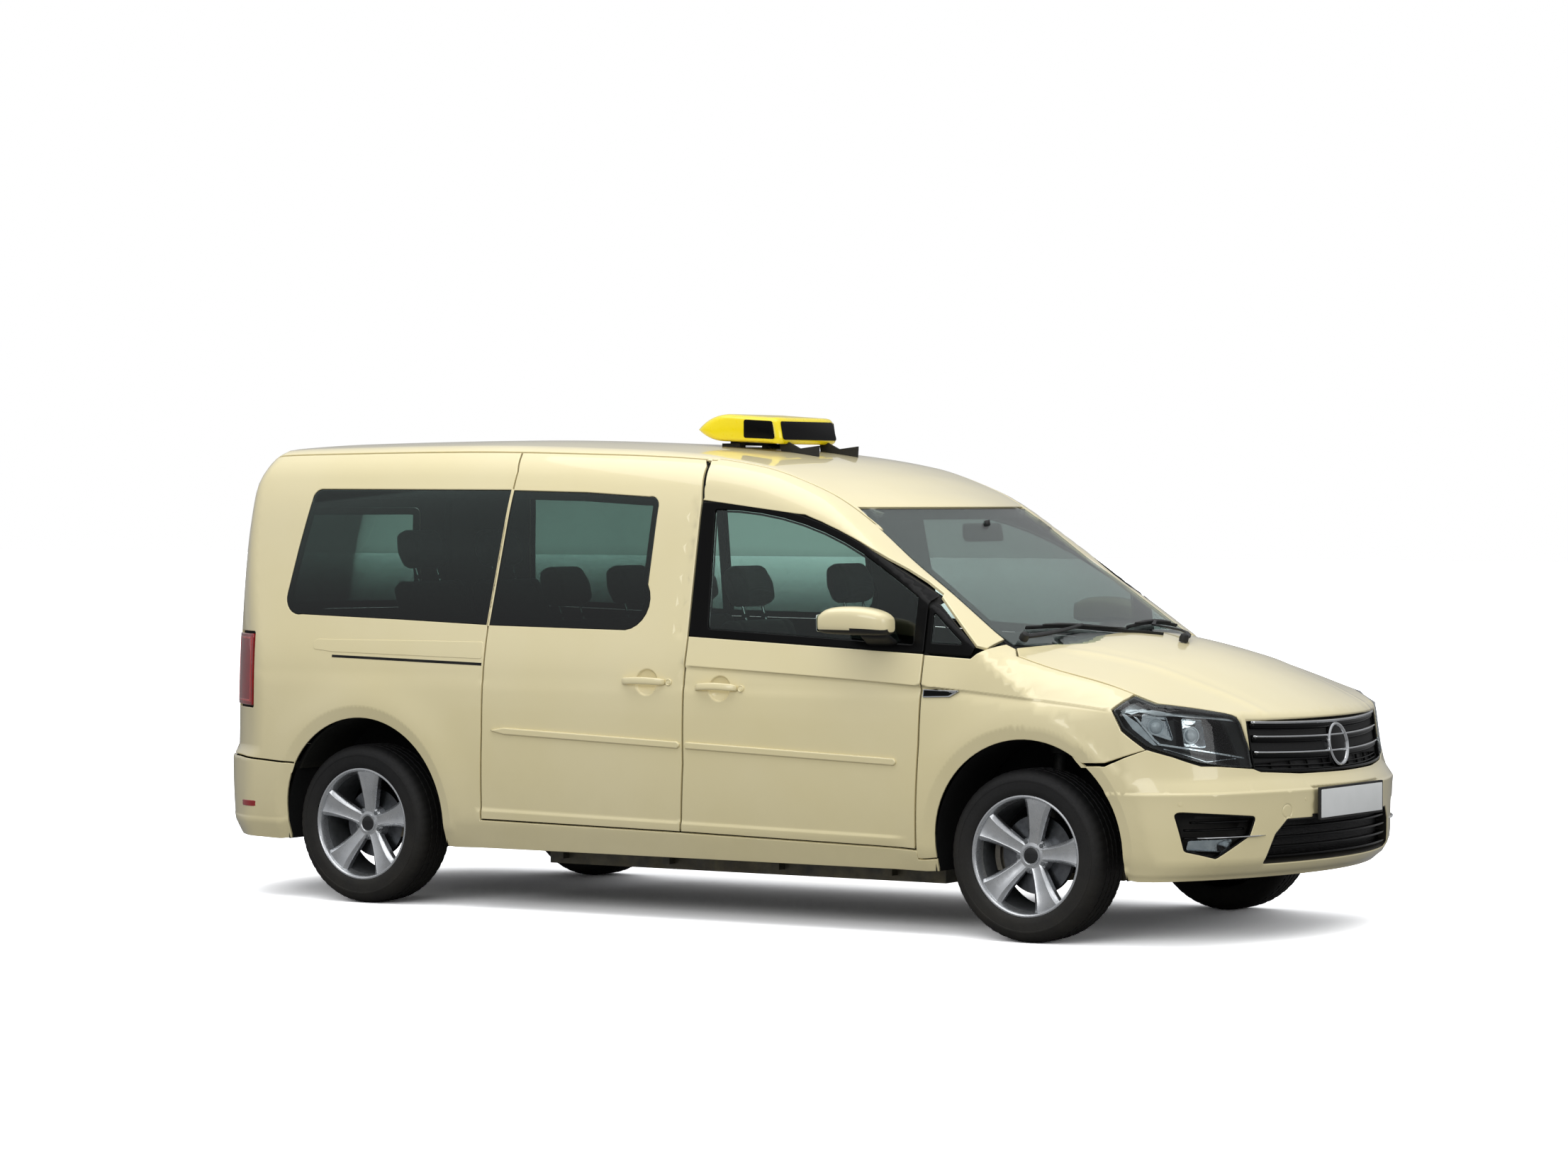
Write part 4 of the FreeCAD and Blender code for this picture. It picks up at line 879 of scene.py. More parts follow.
FRONT_ARCH, REAR_ARCH, ARCH_Z, ARCH_R = 1572.0, -1426.0, 349.0, 384.0
FRONT_WINDOW = rounded([(158, 1556), ((560, 1502), (930, 1338)), (1092, 1236), (1092, 1064), (190, 1108)], 14)
SLIDING_WINDOW = rounded([
    (-800, 1628), (-445, 1620), (-150, 1603), ((-110, 1590), (-102, 1560)), (-105, 1270),
    ((-118, 1130), (-187, 1097)), (-832, 1106),
])
REAR_WINDOW = rounded([
    (-800, 1630), (-832, 1107), (-1265, 1122), (-1752, 1136), ((-1822, 1160), (-1838, 1220)), (-1812, 1399),
    (-1778, 1590), ((-1765, 1622), (-1730, 1634)),
])
QUARTER_PANE = rounded([(1164, 1186), (1250, 1112), (1305, 1068), (1166, 1072)], 8)
SAIL = rounded([(1145, 1228), (1352, 1062), (1338, 1026), (1145, 1036)], 16)


def arch(x0, x1, centre, grow=0.0, steps=40):
    """Points over a wheel opening, from x0's side to x1's, as (x, z)."""
    r = ARCH_R + grow
    sign = 1 if x1 > x0 else -1
    out = []
    for k in range(steps + 1):
        t = math.pi * (1 - k / steps)
        out.append((centre + sign * r * math.cos(t), ARCH_Z + r * math.sin(t)))
    return out


def pressing(x, y, z):
    """How far the side's pressings stand out of the plain form."""
    ay = np.abs(y)
    on_flank = smooth((ay - 640) / 120) * smooth((2150 - np.abs(x)) / 160)
    out = np.zeros_like(x)
    for centre in (FRONT_ARCH, REAR_ARCH):
        dz = np.maximum(z - ARCH_Z, 0)
        r = np.hypot(x - centre, dz)
        lip = ARCH_R + 46
        swell = 10.0 * np.exp(-(np.maximum(r - lip, 0) / 95.0) ** 2)
        inside_lip = smooth((lip + 3 - r) / 6) * (lip - r) * 0.30
        out = out + np.where(r < lip + 330, (swell - np.maximum(inside_lip, 0)) * smooth((z - 180) / 120), 0)
    below = crease_z(x) - z
    belt = smooth((x - 96) / 4) * smooth((2010 - x) / 80)
    out = out - belt * np.where(below > 0, 8.5 * np.exp(-below / 30.0) * (1 - np.exp(-below / 2.5)), 0)
    foot = smooth((x + 1000) / 60) * smooth((1085 - x) / 90)
    ledge = 402 - (x + 800) * 0.017
    out = out + foot * 6.5 * smooth((ledge - z) / 16) * smooth((z - 300) / 60)
    for cx, cz_, r in ((265, 886, 50), (-65, 903, 52)):
        d = np.hypot(x - cx, z - cz_) / r
        out = out - np.where(d < 1, 15.0 * np.sqrt(np.maximum(1 - d ** 2, 0)) * smooth((1 - d) / 0.12), 0)
    flute = smooth((x - 34) / 8) * smooth((72 - x + (z - 1060) * 0.03) / 10)
    out = out - flute * 5.0 * smooth((z - 1060) / 40) * smooth((1590 - z) / 30)
    return out * on_flank


def crease_guides(x0, x1, offsets=(-16, -8, -3.5, 0.5, 3.5, 8, 15)):
    xs = np.arange(x0, x1, 20.0)
    return [flank(np.stack([xs, crease_z(xs) + d], 1)) for d in offsets]


def ring_guides(cx, cz_, radii, start=0.0, end=2 * math.pi, step=14.0):
    out = []
    for r in radii:
        count = max(8, int(r * (end - start) / step))
        t = np.linspace(start, end, count, endpoint=False)
        out.append(np.stack([cx + r * np.cos(t), cz_ + r * np.sin(t)], 1))
    return out


def line_guides(x0, x1, z0, z1, offsets, step=20.0):
    xs = np.arange(min(x0, x1), max(x0, x1), step)
    zs = z0 + (xs - x0) * (z1 - z0) / (x1 - x0)
    return [np.stack([xs, zs + d], 1) for d in offsets]


# rows of mesh points along the pressings, so that their edges stay crisp
cup_front = ring_guides(265, 886, (8, 20, 32, 42, 46, 49, 51, 54), step=7)
cup_slide = ring_guides(-65, 903, (8, 20, 33, 43, 48, 51, 53, 56), step=7)
foot_guides = line_guides(-840, 1085, 401.3, 370, (-22, -16, -11, -6, 0, 5))
arch_front = ring_guides(FRONT_ARCH, ARCH_Z, (407, 422, 427, 433, 437, 450), 0, math.pi, 20)
arch_rear = ring_guides(REAR_ARCH, ARCH_Z, (407, 422, 427, 433, 437, 450), 0, math.pi, 20)


def seam(name, chart, ring, out=20.0, under=7.0, low=17.0, both_sides=True):
    """The jamb and seal that lie behind a shut line, all in black: the seal's own black, and painted shade on
    the jamb.
    """
    ring = anticlockwise(spaced(np.asarray(ring, float), 14.0))
    rings = [inwards(ring, -out), inwards(ring, under)]
    make, place = (pair, {}) if both_sides else (panel, {"body": "body"})
    return make(name, chart, rings, [SEAL_AND_SHADE_BLACK, SEAL_AND_SHADE_BLACK], depth=7, edge=4, lift=-low, step=70, hem=1.5, **place)


def drawn(*parts):
    """Joins stretches of skin points (as 3-D arrays) into one ring."""
    return np.concatenate(parts)


SEAM_Y = -643.0      # where the roof meets the side panels

# front doors: a painted lower panel and a black window frame
door_low = [(1137, 1031), (1137, 940), (1130, 700), (1106, 324), (83, 345), (106, 600), (108, 1078)]
door_high = rounded([(98, 1583), ((560, 1530), (948, 1361)), (1137, 1243), (1137, 1034), (108, 1081)], 10)
door_ring = rounded([
    (98, 1583), ((560, 1530), (948, 1361)), (1137, 1243), (1137, 940), (1130, 700), (1106, 324), (83, 345),
    (106, 600), (108, 1078)], 8)
DOORS = ("door_right", "door_left")


def side(ring):
    """A ring drawn in side view, evenly spaced, in the flank's chart."""
    return flank(spaced(np.asarray(ring, float), 12.0))


pair("door_skin", FLANK, [side(door_low)], [PAINT, INNER], depth=46, shape=pressing,
     guides=crease_guides(112, 1135) + cup_front + foot_guides, step=30, bodies=DOORS)
pair("door_frame", FLANK, [side(door_high), side(FRONT_WINDOW)], [BLACK_GLOSS, INNER], depth=40, edge=9,
     lift=-1.0, step=26, border=12, bodies=DOORS)
seam("door_jamb", FLANK, side(door_ring))

# sliding doors
slide_edge = dense([(101, 1078), (99, 600), (76, 345), (-845, 358), (-828, 695), (-826, 1108),
                    (-794, 1628), (-792, 1700), (-808, 1758)])
slide_front = dense([(65, 1722), (91, 1583), (101, 1078)])
slide_top = on_plan(dense([(-815, SEAM_Y), (42, SEAM_Y)], 30), ROOF_FROM)
slide_ring = FLANK.flat(drawn(slide_top, on_side(slide_front), on_side(slide_edge)))
pair("sliding_door_skin", FLANK, [slide_ring, side(SLIDING_WINDOW)], [PAINT, INNER], depth=46,
     shape=pressing,
     guides=cup_slide + foot_guides + line_guides(20, 84, 1200, 1200, (-100, 0, 100, 200, 300), 6),
     step=30)
seam("sliding_door_jamb", FLANK, slide_ring)

# rear quarter and sill in one piece, round the rear arch and the tail lamp
gate_side = dense([(-641, 1640), (-707, 1100), (-707, 1065)])
lamp_top = on_side(dense([(-2150, 1065), (-1985, 1065)]))
lamp_side = on_side(dense([(-1979, 1059), (-1979, 765)]))
lamp_low = on_side(dense([(-1985, 759), (-2150, 759)]))
quarter = drawn(
    on_side(dense([(1188, 240), (1188, 284), (1113, 284), (1113, 317), (83, 338), (-852, 351), (-835, 695),
                   (-833, 1108), (-801, 1628), (-799, 1700), (-816, 1758)])),
    on_plan(dense([(-823, SEAM_Y), (-2096, SEAM_Y)], 30), ROOF_FROM),
    on_end(gate_side, -1900, -1), lamp_top, lamp_side, lamp_low,
    on_end(dense([(-707, 759), (-707, 568)]), -1900, -1),
    on_side(dense([(-2090, 568), (-1790, 551), (-1758, 548)])),
    on_side(arch(-1756, -1042, REAR_ARCH)[5:]),
    on_side(dense([(-1042, 349), (-1042, 240), (1188, 240)])))
quarter_ring = FLANK.flat(quarter)
pair("rear_quarter_and_sill", FLANK, [quarter_ring, side(REAR_WINDOW)], [PAINT, INNER], depth=40,
     shape=pressing, guides=arch_rear + foot_guides, step=30)

# roof rail and front pillar
screen_side = on_end(dense([(-643, 1500), (-706, 1112), (-706, 1085)]), 300)
rail = drawn(
    on_plan(dense([(52, SEAM_Y), (826, SEAM_Y)], 30), ROOF_FROM), screen_side,
    on_side(dense([(1378, 1056), (1352, 1066), (1145, 1238), (1137, 1250)])),
    on_side(rounded([(1137, 1250), ((948, 1368), (560, 1537)), (98, 1590)])),
    on_side(dense([(104, 1600), (79, 1722), (58, 1752)])))
pair("roof_rail_and_pillar", FLANK, [FLANK.flat(rail)], [PAINT, HEADLINING], depth=40, step=24, border=12)
pair("sail", FLANK, [side(SAIL), side(QUARTER_PANE)], [BLACK_GLOSS, INNER], depth=22, step=26,
     border=10, lift=-1)

# front wings
wing = drawn(
    on_side(dense([(1113, 290), (1113, 324), (1137, 700), (1144, 940), (1144, 1028), (1338, 1018),
                   (1374, 1044)])),
    on_plan(dense([(1402, -724), (1434, -711), (1466, -760)]), LID_FROM),
    on_plan(rounded([(1466, -760), ((1760, -789), (1962, -794))]), LID_FROM),
    on_side(dense([(1958, 892), (1919, 852), (1964, 775), (2047, 709)])),
    on_side(dense([(2047, 709), (1905, 661), (1806, 656)])),
    on_side(arch(1956, 1188, FRONT_ARCH)[13:]),
    on_side(dense([(1188, 349), (1188, 290), (1113, 290)])))
pair("front_wing", FLANK, [FLANK.flat(wing)], [PAINT, SEAL_AND_SHADE_BLACK], depth=30, shape=pressing,
     guides=arch_front + crease_guides(1150, 1960), step=26)

# roof, bonnet and tailgate
roof_front = on_end(dense([(-636, 1512), (-619, 1565), (619, 1565), (636, 1512)]), 300)
roof_ring = drawn(on_plan(dense([(826, 636), (-2096, 636), (-2073, 606), (-2073, -606), (-2096, -636),
                                 (826, -636)], 40), ROOF_FROM), roof_front)
panel("roof_skin", ROOF, [ROOF.flat(roof_ring)], [PAINT, HEADLINING], "body", depth=26, step=40, border=20)
seam("roof_ditch", ROOF, ROOF.flat(roof_ring), both_sides=False, low=14, under=4, out=14)


def bonnet_shape(x, y, z):
    """Two soft raised creases that run from the screen's corners towards the nose."""
    line = 560 - (x - 1450) * 0.17
    d = np.abs(y) - line
    swell = 5.0 * smooth((-d + 60) / 150) * smooth((x - 1480) / 150)
    return swell + 2.5 * np.exp(-(d / 26.0) ** 2) * smooth((x - 1500) / 120)


bonnet_front = on_end(dense([(535, 803), (-535, 803)], 30), 1900)
bonnet_ring = drawn(
    on_plan(rounded([(1432, -700), ((1545, 0), (1432, 700)), (1470, 752), ((1760, 782), (2059, 788)),
                     (2290, 535)]), LID_FROM),
    bonnet_front,
    on_plan(rounded([(2290, -535), (2059, -788), ((1760, -782), (1470, -752)), (1432, -700)]), LID_FROM))
xs = np.arange(1500, 2330, 22.0)
lines = [np.stack([xs, s * (560 - (xs - 1450) * 0.17 + d)], 1) for s in (-1, 1)
         for d in (-40, -14, 0, 14, 40)]
panel("bonnet_skin", LID, [LID.flat(bonnet_ring)], [PAINT, SEAL_AND_SHADE_BLACK], "bonnet", depth=24, step=34,
      shape=bonnet_shape, guides=lines, border=16)
seam("bonnet_jamb", LID, LID.flat(bonnet_ring), both_sides=False, low=18, out=22, under=6)
gate_top = on_plan(dense([(-2080, 600), (-2080, -600)], 40), ROOF_FROM)
gate = drawn(on_end(dense([(-634, 1640), (-700, 1100), (-700, 568), (700, 568), (700, 1100),
                           (634, 1640)]), -1900, -1), gate_top)


def gate_shape(x, y, z):
    """The recess for the rear plate, under a ledge."""
    across = smooth((300 - np.abs(y)) / 22)
    return -14.0 * across * smooth((z - 800) / 20) * smooth((960 - z) / 14)


gate_window = rounded([(-590, 1130), (-535, 1560), (535, 1560), (590, 1130)], 40)
recess_guides = [np.stack([np.arange(-330, 331, 15.0), np.full(45, z)], 1)
                 for z in (798, 804, 810, 816, 822, 944, 950, 956, 962)]
recess_guides += [np.stack([np.full(12, s * y), np.linspace(800, 960, 12)], 1) for s in (-1, 1)
                  for y in (276, 284, 292, 300, 306)]
panel("tailgate_skin", TAIL_END, [TAIL_END.flat(gate), gate_window], [PAINT, INNER], "tailgate",
      depth=42, step=34, shape=gate_shape, border=16, guides=recess_guides)
seam("tailgate_jamb", TAIL_END, TAIL_END.flat(gate), both_sides=False, low=19)

# bumpers
front_top = drawn(
    on_end(dense([(0, 606), (-300, 609), (-500, 622), (-532, 634)]), 1900),
    on_side(dense([(2236, 648), (2204, 650), (2128, 684), (2051, 709), (1978, 680), (1905, 648),
                   (1804, 643)])))
front_low = drawn(on_side(arch(1956, 1188, FRONT_ARCH)[:14][::-1]),
                  on_side(dense([(1956, 349), (1956, 242)])),
                  on_end([(-820, 242), (-700, 242), (-520, 242), (-300, 242), (0, 242)], 1900))


def two_halves(points):
    """A ring from its right-hand half, which starts and ends on the centre line."""
    left = points[::-1][1:-1] * [1, -1, 1]
    return np.concatenate([points, left])


LOWER_OPENING = rounded([(-412, 452), (412, 452), (470, 400), (520, 292), (-520, 292), (-470, 400)], 16)
FOG_OPENING = rounded([(-560, 468), (-842, 492), (-815, 350), (-720, 322), (-585, 400)], 16)
bumper_ring = NOSE_WRAP.flat(two_halves(drawn(front_top, front_low)))
fog_ring = NOSE_WRAP.flat(on_end(spaced(FOG_OPENING, 12.0), 1900))


def arch_flare(x, ay, z, centre):
    """The swell that a bumper carries on from the wheel arch."""
    lip = np.hypot(x - centre, np.maximum(z - ARCH_Z, 0))
    swell = 10.0 * np.exp(-(np.maximum(lip - 430, 0) / 95.0) ** 2)
    return np.where(lip < 760, swell - np.maximum(430 - lip, 0) * 0.30, 0) * smooth((ay - 700) / 80)


def bumper_shape(x, y, z):
    """The ledge across the bumper, the plate's seat and the round covers."""
    ay = np.abs(y)
    ledge = 4.0 * np.exp(-np.maximum(548 - z, 0) / 30.0) * smooth((560 - z) / 10)
    seat = -9.0 * smooth((276 - ay) / 8) * smooth((z - 434) / 8) * smooth((566 - z) / 8)
    lip = 5.0 * smooth((292 - z) / 18) * smooth((z - 246) / 30)
    cover = np.hypot(ay - 415, z - 480)
    groove = np.where(y < 0, -2.5 * np.exp(-((cover - 24) / 2.2) ** 2), 0.0)
    return ledge + seat + lip + groove + arch_flare(x, ay, z, FRONT_ARCH)


def ledge_guides(half, zs):
    ys = np.arange(-half, half, 26.0)
    return [np.stack([ys, np.full(len(ys), z)], 1) for z in zs]


nose_arch = [NOSE_WRAP.flat(on_side(g))
             for g in ring_guides(FRONT_ARCH, ARCH_Z, (407, 423, 428, 433, 450), 0, 1.0, 20)]
nose_arch += [g * [-1, 1] for g in nose_arch]
cover_guides = ring_guides(-415, 480, (10, 19, 22, 24, 26, 29), step=5)
seat_guides = ledge_guides(286, (432, 436, 440, 444, 556, 560, 564, 568))
fold_guides = ledge_guides(1250, (240, 250, 262, 275, 292, 536, 543, 549, 555, 561))
panel("front_bumper_skin", NOSE_WRAP,
      [bumper_ring, spaced(LOWER_OPENING, 12.0), fog_ring, fog_ring * [-1, 1]], [PAINT, SEAL_AND_SHADE_BLACK], "body",
      depth=24, step=28, shape=bumper_shape, border=14,
      guides=fold_guides + seat_guides + cover_guides + nose_arch)
rear_top = drawn(on_end(dense([(0, 561), (-700, 561)]), -1900, -1),
                 on_side(dense([(-2150, 560), (-2090, 561), (-1790, 544), (-1760, 541)])))
rear_low = drawn(on_side(arch(-1810, -1042, REAR_ARCH)[:8][::-1]),
                 on_side(dense([(-1810, 349), (-1810, 242)])),
                 on_end([(-780, 242), (-600, 242), (-300, 242), (0, 242)], -1900, -1))


def rear_shape(x, y, z):
    """A step under the tailgate and a low fold."""
    return arch_flare(x, np.abs(y), z, REAR_ARCH) + 3.0 * smooth((330 - z) / 14)


panel("rear_bumper_skin", TAIL_WRAP, [TAIL_WRAP.flat(two_halves(drawn(rear_top, rear_low)))],
      [PAINT, SEAL_AND_SHADE_BLACK], "body", depth=24, step=28, shape=rear_shape, border=14,
      guides=ledge_guides(1250, (322, 330, 338, 540, 548, 556)))


# ---- headlamps ---------------------------------------------------------------------------
LENS = pane("lamp_lens", srgb("f4fafa"), 0.0)
LAMP_BLACK = surface("lamp_housing", srgb("070708"), srgb("101013"), rough=0.28, tone=30, grain=600,
                     grain_strength=0.1, coat=0.3)
BRIGHT = surface("lamp_reflector", srgb("eef1f4"), srgb("c2c7cd"), rough=0.13, metal=1.0, tone=24,
                 grain=90, grain_depth=0.002, grain_strength=0.25)
LIGHT_GUIDE = surface("light_guide", srgb("dfe5ea"), srgb("b9c0c6"), rough=0.2, coat=0.8, tone=30,
                      grain=120, grain_depth=0.001, grain_strength=0.3)
lamp_outer = drawn(on_side(dense([(1928, 850), (1970, 784), (2051, 721), (2130, 690), (2204, 661)])),
                   on_end(dense([(-640, 645), (-534, 638)]), 1900),
                   on_end(dense([(-534, 640), (-536, 790)]), 1900),
                   on_plan(dense([(2283, -543), (2053, -795)]), LID_FROM),
                   on_side(dense([(1972, 899), (1928, 850)])))
lamp_ring = NOSE_WRAP.flat(lamp_outer)
lamp_ring = lamp_ring[np.r_[True, np.linalg.norm(np.diff(lamp_ring, axis=0), axis=1) > 2.0]]
lamp_ring = anticlockwise(lamp_ring)

# the lamp's top and bottom edges by distance round the nose
top_of = pchip([528, 547, 760, 991, 1098, 1156], [812, 826, 858, 874, 905, 850])
foot_of = pchip([528, 650, 822, 1021, 1110, 1156], [640, 646, 660, 721, 784, 850])


def in_lamp(points):
    """(0 to 1 from the outer tip inwards, 0 to 1 from the bottom up) to the chart."""
    out = []
    for a, b in points:
        s = 1150 - 610 * a
        low, high = foot_of(s), top_of(s)
        out.append((-s, low + (high - low) * b))
    return np.array(out)


bezel = spaced(lamp_ring, 10.0)
pair("headlamp_lens", NOSE_WRAP, [lamp_ring], [LENS, LENS], depth=0, edge=5, lift=-0.5, step=40, border=12)
pair("headlamp_bezel", NOSE_WRAP, [lamp_ring, inwards(bezel, 8)], [LAMP_BLACK, LAMP_BLACK], depth=10,
     edge=6, lift=-3.5, step=60)
pair("headlamp_bowl", NOSE_WRAP, [lamp_ring], [LAMP_BLACK, LAMP_BLACK], depth=62, edge=8, lift=-6,
     margin=-6, bowl=True, step=22)
seam("headlamp_joint", NOSE_WRAP, lamp_ring, low=13, out=16, under=4)
band = [(0.02, 0.72), (0.085, 0.86), (0.25, 0.9), (0.6, 0.93), (0.97, 0.9), (0.97, 0.83), (0.6, 0.82),
        (0.25, 0.72), (0.155, 0.66), (0.11, 0.5), (0.07, 0.52)]
hook = [(0.035, 0.5), (0.07, 0.45), (0.15, 0.4), (0.235, 0.2), (0.27, 0.12), (0.245, 0.08), (0.2, 0.12),
        (0.12, 0.18)]
hook_line = [(0.12, 0.5), (0.145, 0.52), (0.255, 0.24), (0.3, 0.17), (0.285, 0.12), (0.235, 0.2)]
lower_line = [(0.27, 0.17), (0.96, 0.2), (0.96, 0.155), (0.27, 0.115)]
lower_fold = [(0.3, 0.09), (0.62, 0.045), (0.9, 0.16), (0.86, 0.16), (0.62, 0.075), (0.34, 0.12)]
for name, shape_, lift_, material in (("band", band, -16, SATIN), ("hook", hook, -14, LIGHT_GUIDE),
                                      ("hook_line", hook_line, -18, BRIGHT),
                                      ("lower_line", lower_line, -16, BRIGHT),
                                      ("lower_fold", lower_fold, -20, BRIGHT)):
    pair("headlamp_" + name, NOSE_WRAP, [in_lamp(shape_)], [material, LAMP_BLACK], depth=14, edge=9,
         lift=lift_, step=18, border=8, hem=2.2)
for name, cell in (("outer", [(0.17, 0.25), (0.17, 0.66), (0.33, 0.76), (0.385, 0.3)]),
                   ("inner", [(0.45, 0.26), (0.43, 0.78), (0.6, 0.78), (0.63, 0.28)])):
    ring = fillet([tuple(p) for p in in_lamp(cell)], 12)
    pair(f"headlamp_{name}_reflector", NOSE_WRAP, [np.array(ring)], [BRIGHT, BRIGHT], depth=44, edge=10,
         lift=-22, margin=-4, bowl=True, step=12, border=8)
    middle = in_lamp([(sum(p[0] for p in cell) / 4, 0.5)])
    spot, facing_ = skin_at(NOSE_WRAP, middle, -40.0)
    lathe_pair(f"headlamp_{name}_projector",
               [(0, 12), (12, 10), (20, 4), (23, -6), (27, -6), (28, 0), (31, 0), (31, -14)], spot[0],
               facing_[0], [LIGHT_GUIDE], 32)
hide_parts("headlights")


# ---- grille ------------------------------------------------------------------------------
def across_nose(half, z, step=24.0):
    ys = np.linspace(-half, half, max(3, int(2 * half / step)))
    return np.stack([ys, z(np.abs(ys))], 1)


def nose_bar(name, half, z, width, height, lift, material, power=3.0, bend=0.0):
    points = across_nose(half, lambda y: z - bend * (y / 500.0) ** 2)
    path, normal = skin_at(NOSE_WRAP, points, lift)
    return tube(name, path, normal, round_profile(height, width, power), material, "body")


grille_ring = drawn(on_end(across_nose(526, lambda y: 612 + 14 * (y / 526) ** 3), 1900),
                    on_end(across_nose(532, lambda y: 797 + 14 * (y / 530) ** 2)[::-1], 1900))
MESH = surface("grille_mesh", srgb("050505"), srgb("161616"), rough=0.5, tone=200, grain=260,
               grain_depth=0.003, grain_strength=0.8, stretch=(1, 0.12, 1))
g = NOSE_WRAP.flat(grille_ring)
panel("grille_back", NOSE_WRAP, [g], [MESH, SEAL_AND_SHADE_BLACK], "body", depth=20, edge=12, lift=-34, step=30)
panel("grille_frame", NOSE_WRAP, [g, inwards(spaced(g, 12), 9 if area(g) > 0 else -9)],
      [BLACK_GLOSS, SEAL_AND_SHADE_BLACK], "body", depth=34, edge=24, lift=-3, step=60, margin=-20)
for k, (z, half) in enumerate(((786, 516), (738, 512), (682, 516))):
    nose_bar(f"grille_bar_{k}", half, z - 7, 20, 26, -18, BLACK_GLOSS, bend=-10)
    nose_bar(f"grille_chrome_{k}", half, z + (3 if k == 0 else 0), 11, 8 if k else 12, -7, CHROME,
             power=2.4, bend=-10)
for k, z in enumerate((762, 712, 660, 640, 626)):
    nose_bar(f"grille_slat_{k}", 512, z, 14, 5, -26, BLACK_TRIM, bend=-8)
for k, y in enumerate(np.linspace(-420, 420, 9)):
    p, nrm = skin_at(NOSE_WRAP, [(y, 630), (y, 700), (y, 780)], -28)
    tube(f"grille_upright_{k}", p, nrm, round_profile(5, 10), BLACK_TRIM, "body")
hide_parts("grille")
badge = skin_at(NOSE_WRAP, [(0.0, 702.0)])[0]
badge_axis = unit(np.array([1.0, 0, 0.16]))
lathe("emblem",
      [(0, 3), (40, 2.4), (64, 0), (66, -2), (68, 2), (72, 6), (77, 6), (81, 2), (82, -4), (82, -30)],
      badge[0] + [-6, 0, 0], badge_axis, [BLACK_GLOSS, CHROME], "body", steps=72,
      indices=[0, 0, 0, 1, 1, 1, 1, 1, 1])


# ---- lower grille, fog recesses, plate, sensors ------------------------------------------
g = spaced(LOWER_OPENING, 12.0)
panel("lower_grille_back", NOSE_WRAP, [inwards(g, -6)], [MESH, SEAL_AND_SHADE_BLACK], "body", depth=20, edge=6, lift=-44,
      step=40)
panel("lower_grille_frame", NOSE_WRAP, [inwards(g, -2), inwards(g, 8)], [BLACK_TRIM, SEAL_AND_SHADE_BLACK], "body",
      depth=40, edge=30, lift=-4, step=60, margin=-20)
for k, (z, half) in enumerate(((318, 494), (352, 478), (386, 462), (420, 430))):
    nose_bar(f"lower_slat_{k}", half, z, 26, 9, -22, BLACK_GLOSS, power=3.5)
g = anticlockwise(fog_ring)
pair("fog_bowl", NOSE_WRAP, [inwards(spaced(g, 12), -3)], [BLACK_TRIM, BLACK_TRIM], depth=70, edge=12,
     lift=-3, margin=-8, bowl=True, step=22)
pair("fog_frame", NOSE_WRAP, [inwards(spaced(g, 12), -2), inwards(spaced(g, 12), 7)],
     [BLACK_GLOSS, SEAL_AND_SHADE_BLACK], depth=26, edge=20, lift=-2, step=60, margin=-20)
for k, (z, y0, y1) in enumerate(((452, -860, -590), (425, -885, -620), (398, -890, -640))):
    pts = np.stack([np.linspace(y0, y1, 12), np.full(12, z)], 1)
    path, nrm = skin_at(NOSE_WRAP, pts, -20 if k < 2 else -6)
    tube_pair(f"fog_slat_{k}", path, nrm, round_profile(8, 24, 3.4), BLACK_GLOSS)
pts = np.stack([np.linspace(-880, -520, 16), np.full(16, 399.0)], 1)
path, nrm = skin_at(NOSE_WRAP, pts, 1.5)
tube_pair("fog_blade", path, nrm, round_profile(5, 12, 3.4), CHROME,
          scale=np.interp(np.arange(16), [0, 3, 13, 15], [0.4, 1, 1, 0.3]))
fog_lens = np.array(fillet([(-880, 352), (-700, 342), (-668, 392), (-868, 390)], 10), float)
fog_lens = anticlockwise(fog_lens)
pair("fog_lamp_reflector", NOSE_WRAP, [fog_lens], [BRIGHT, BRIGHT], depth=36, edge=10, lift=-16,
     margin=-6, bowl=True, step=12, border=8)
pair("fog_lamp_lens", NOSE_WRAP, [fog_lens], [LENS, LENS], depth=0, edge=6, lift=-12, step=30, border=10)
frame_ring = rounded([(-264, 440), (264, 440), (264, 558), (-264, 558)], 5)
plate_ring = rounded([(-256, 448), (256, 448), (256, 550), (-256, 550)], 4)
PLATE = surface("blank_plate", srgb("f3f5f4"), srgb("e9ecea"), rough=0.35, tone=6, grain=500,
                grain_depth=0.0001, coat=0.3)
slab("plate_holder", frame_ring, lambda u, v, w: (2427.0 + w, u, v), 10.5, [BLACK_TRIM], "body", bevel=1.5)
slab("number_plate_face", plate_ring, lambda u, v, w: (2434.0 + w, u, v), 4.8, [PLATE], "body", bevel=1.0)
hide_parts("number_plate")
SENSORS = ((-700, 536, 11), (-902, 522, 11), (-318, 520, 7))
for k, (u, z, r) in enumerate(SENSORS):
    spot, facing_ = skin_at(NOSE_WRAP, [(u, z)], 1.2)
    lathe_pair(f"parking_sensor_{k}",
               [(0, 1.2), (r - 3, 1.0), (r - 2, -0.8), (r - 1, 0.8), (r, 0.2), (r + 0.5, -5)], spot[0],
               facing_[0], [PAINT], 24)


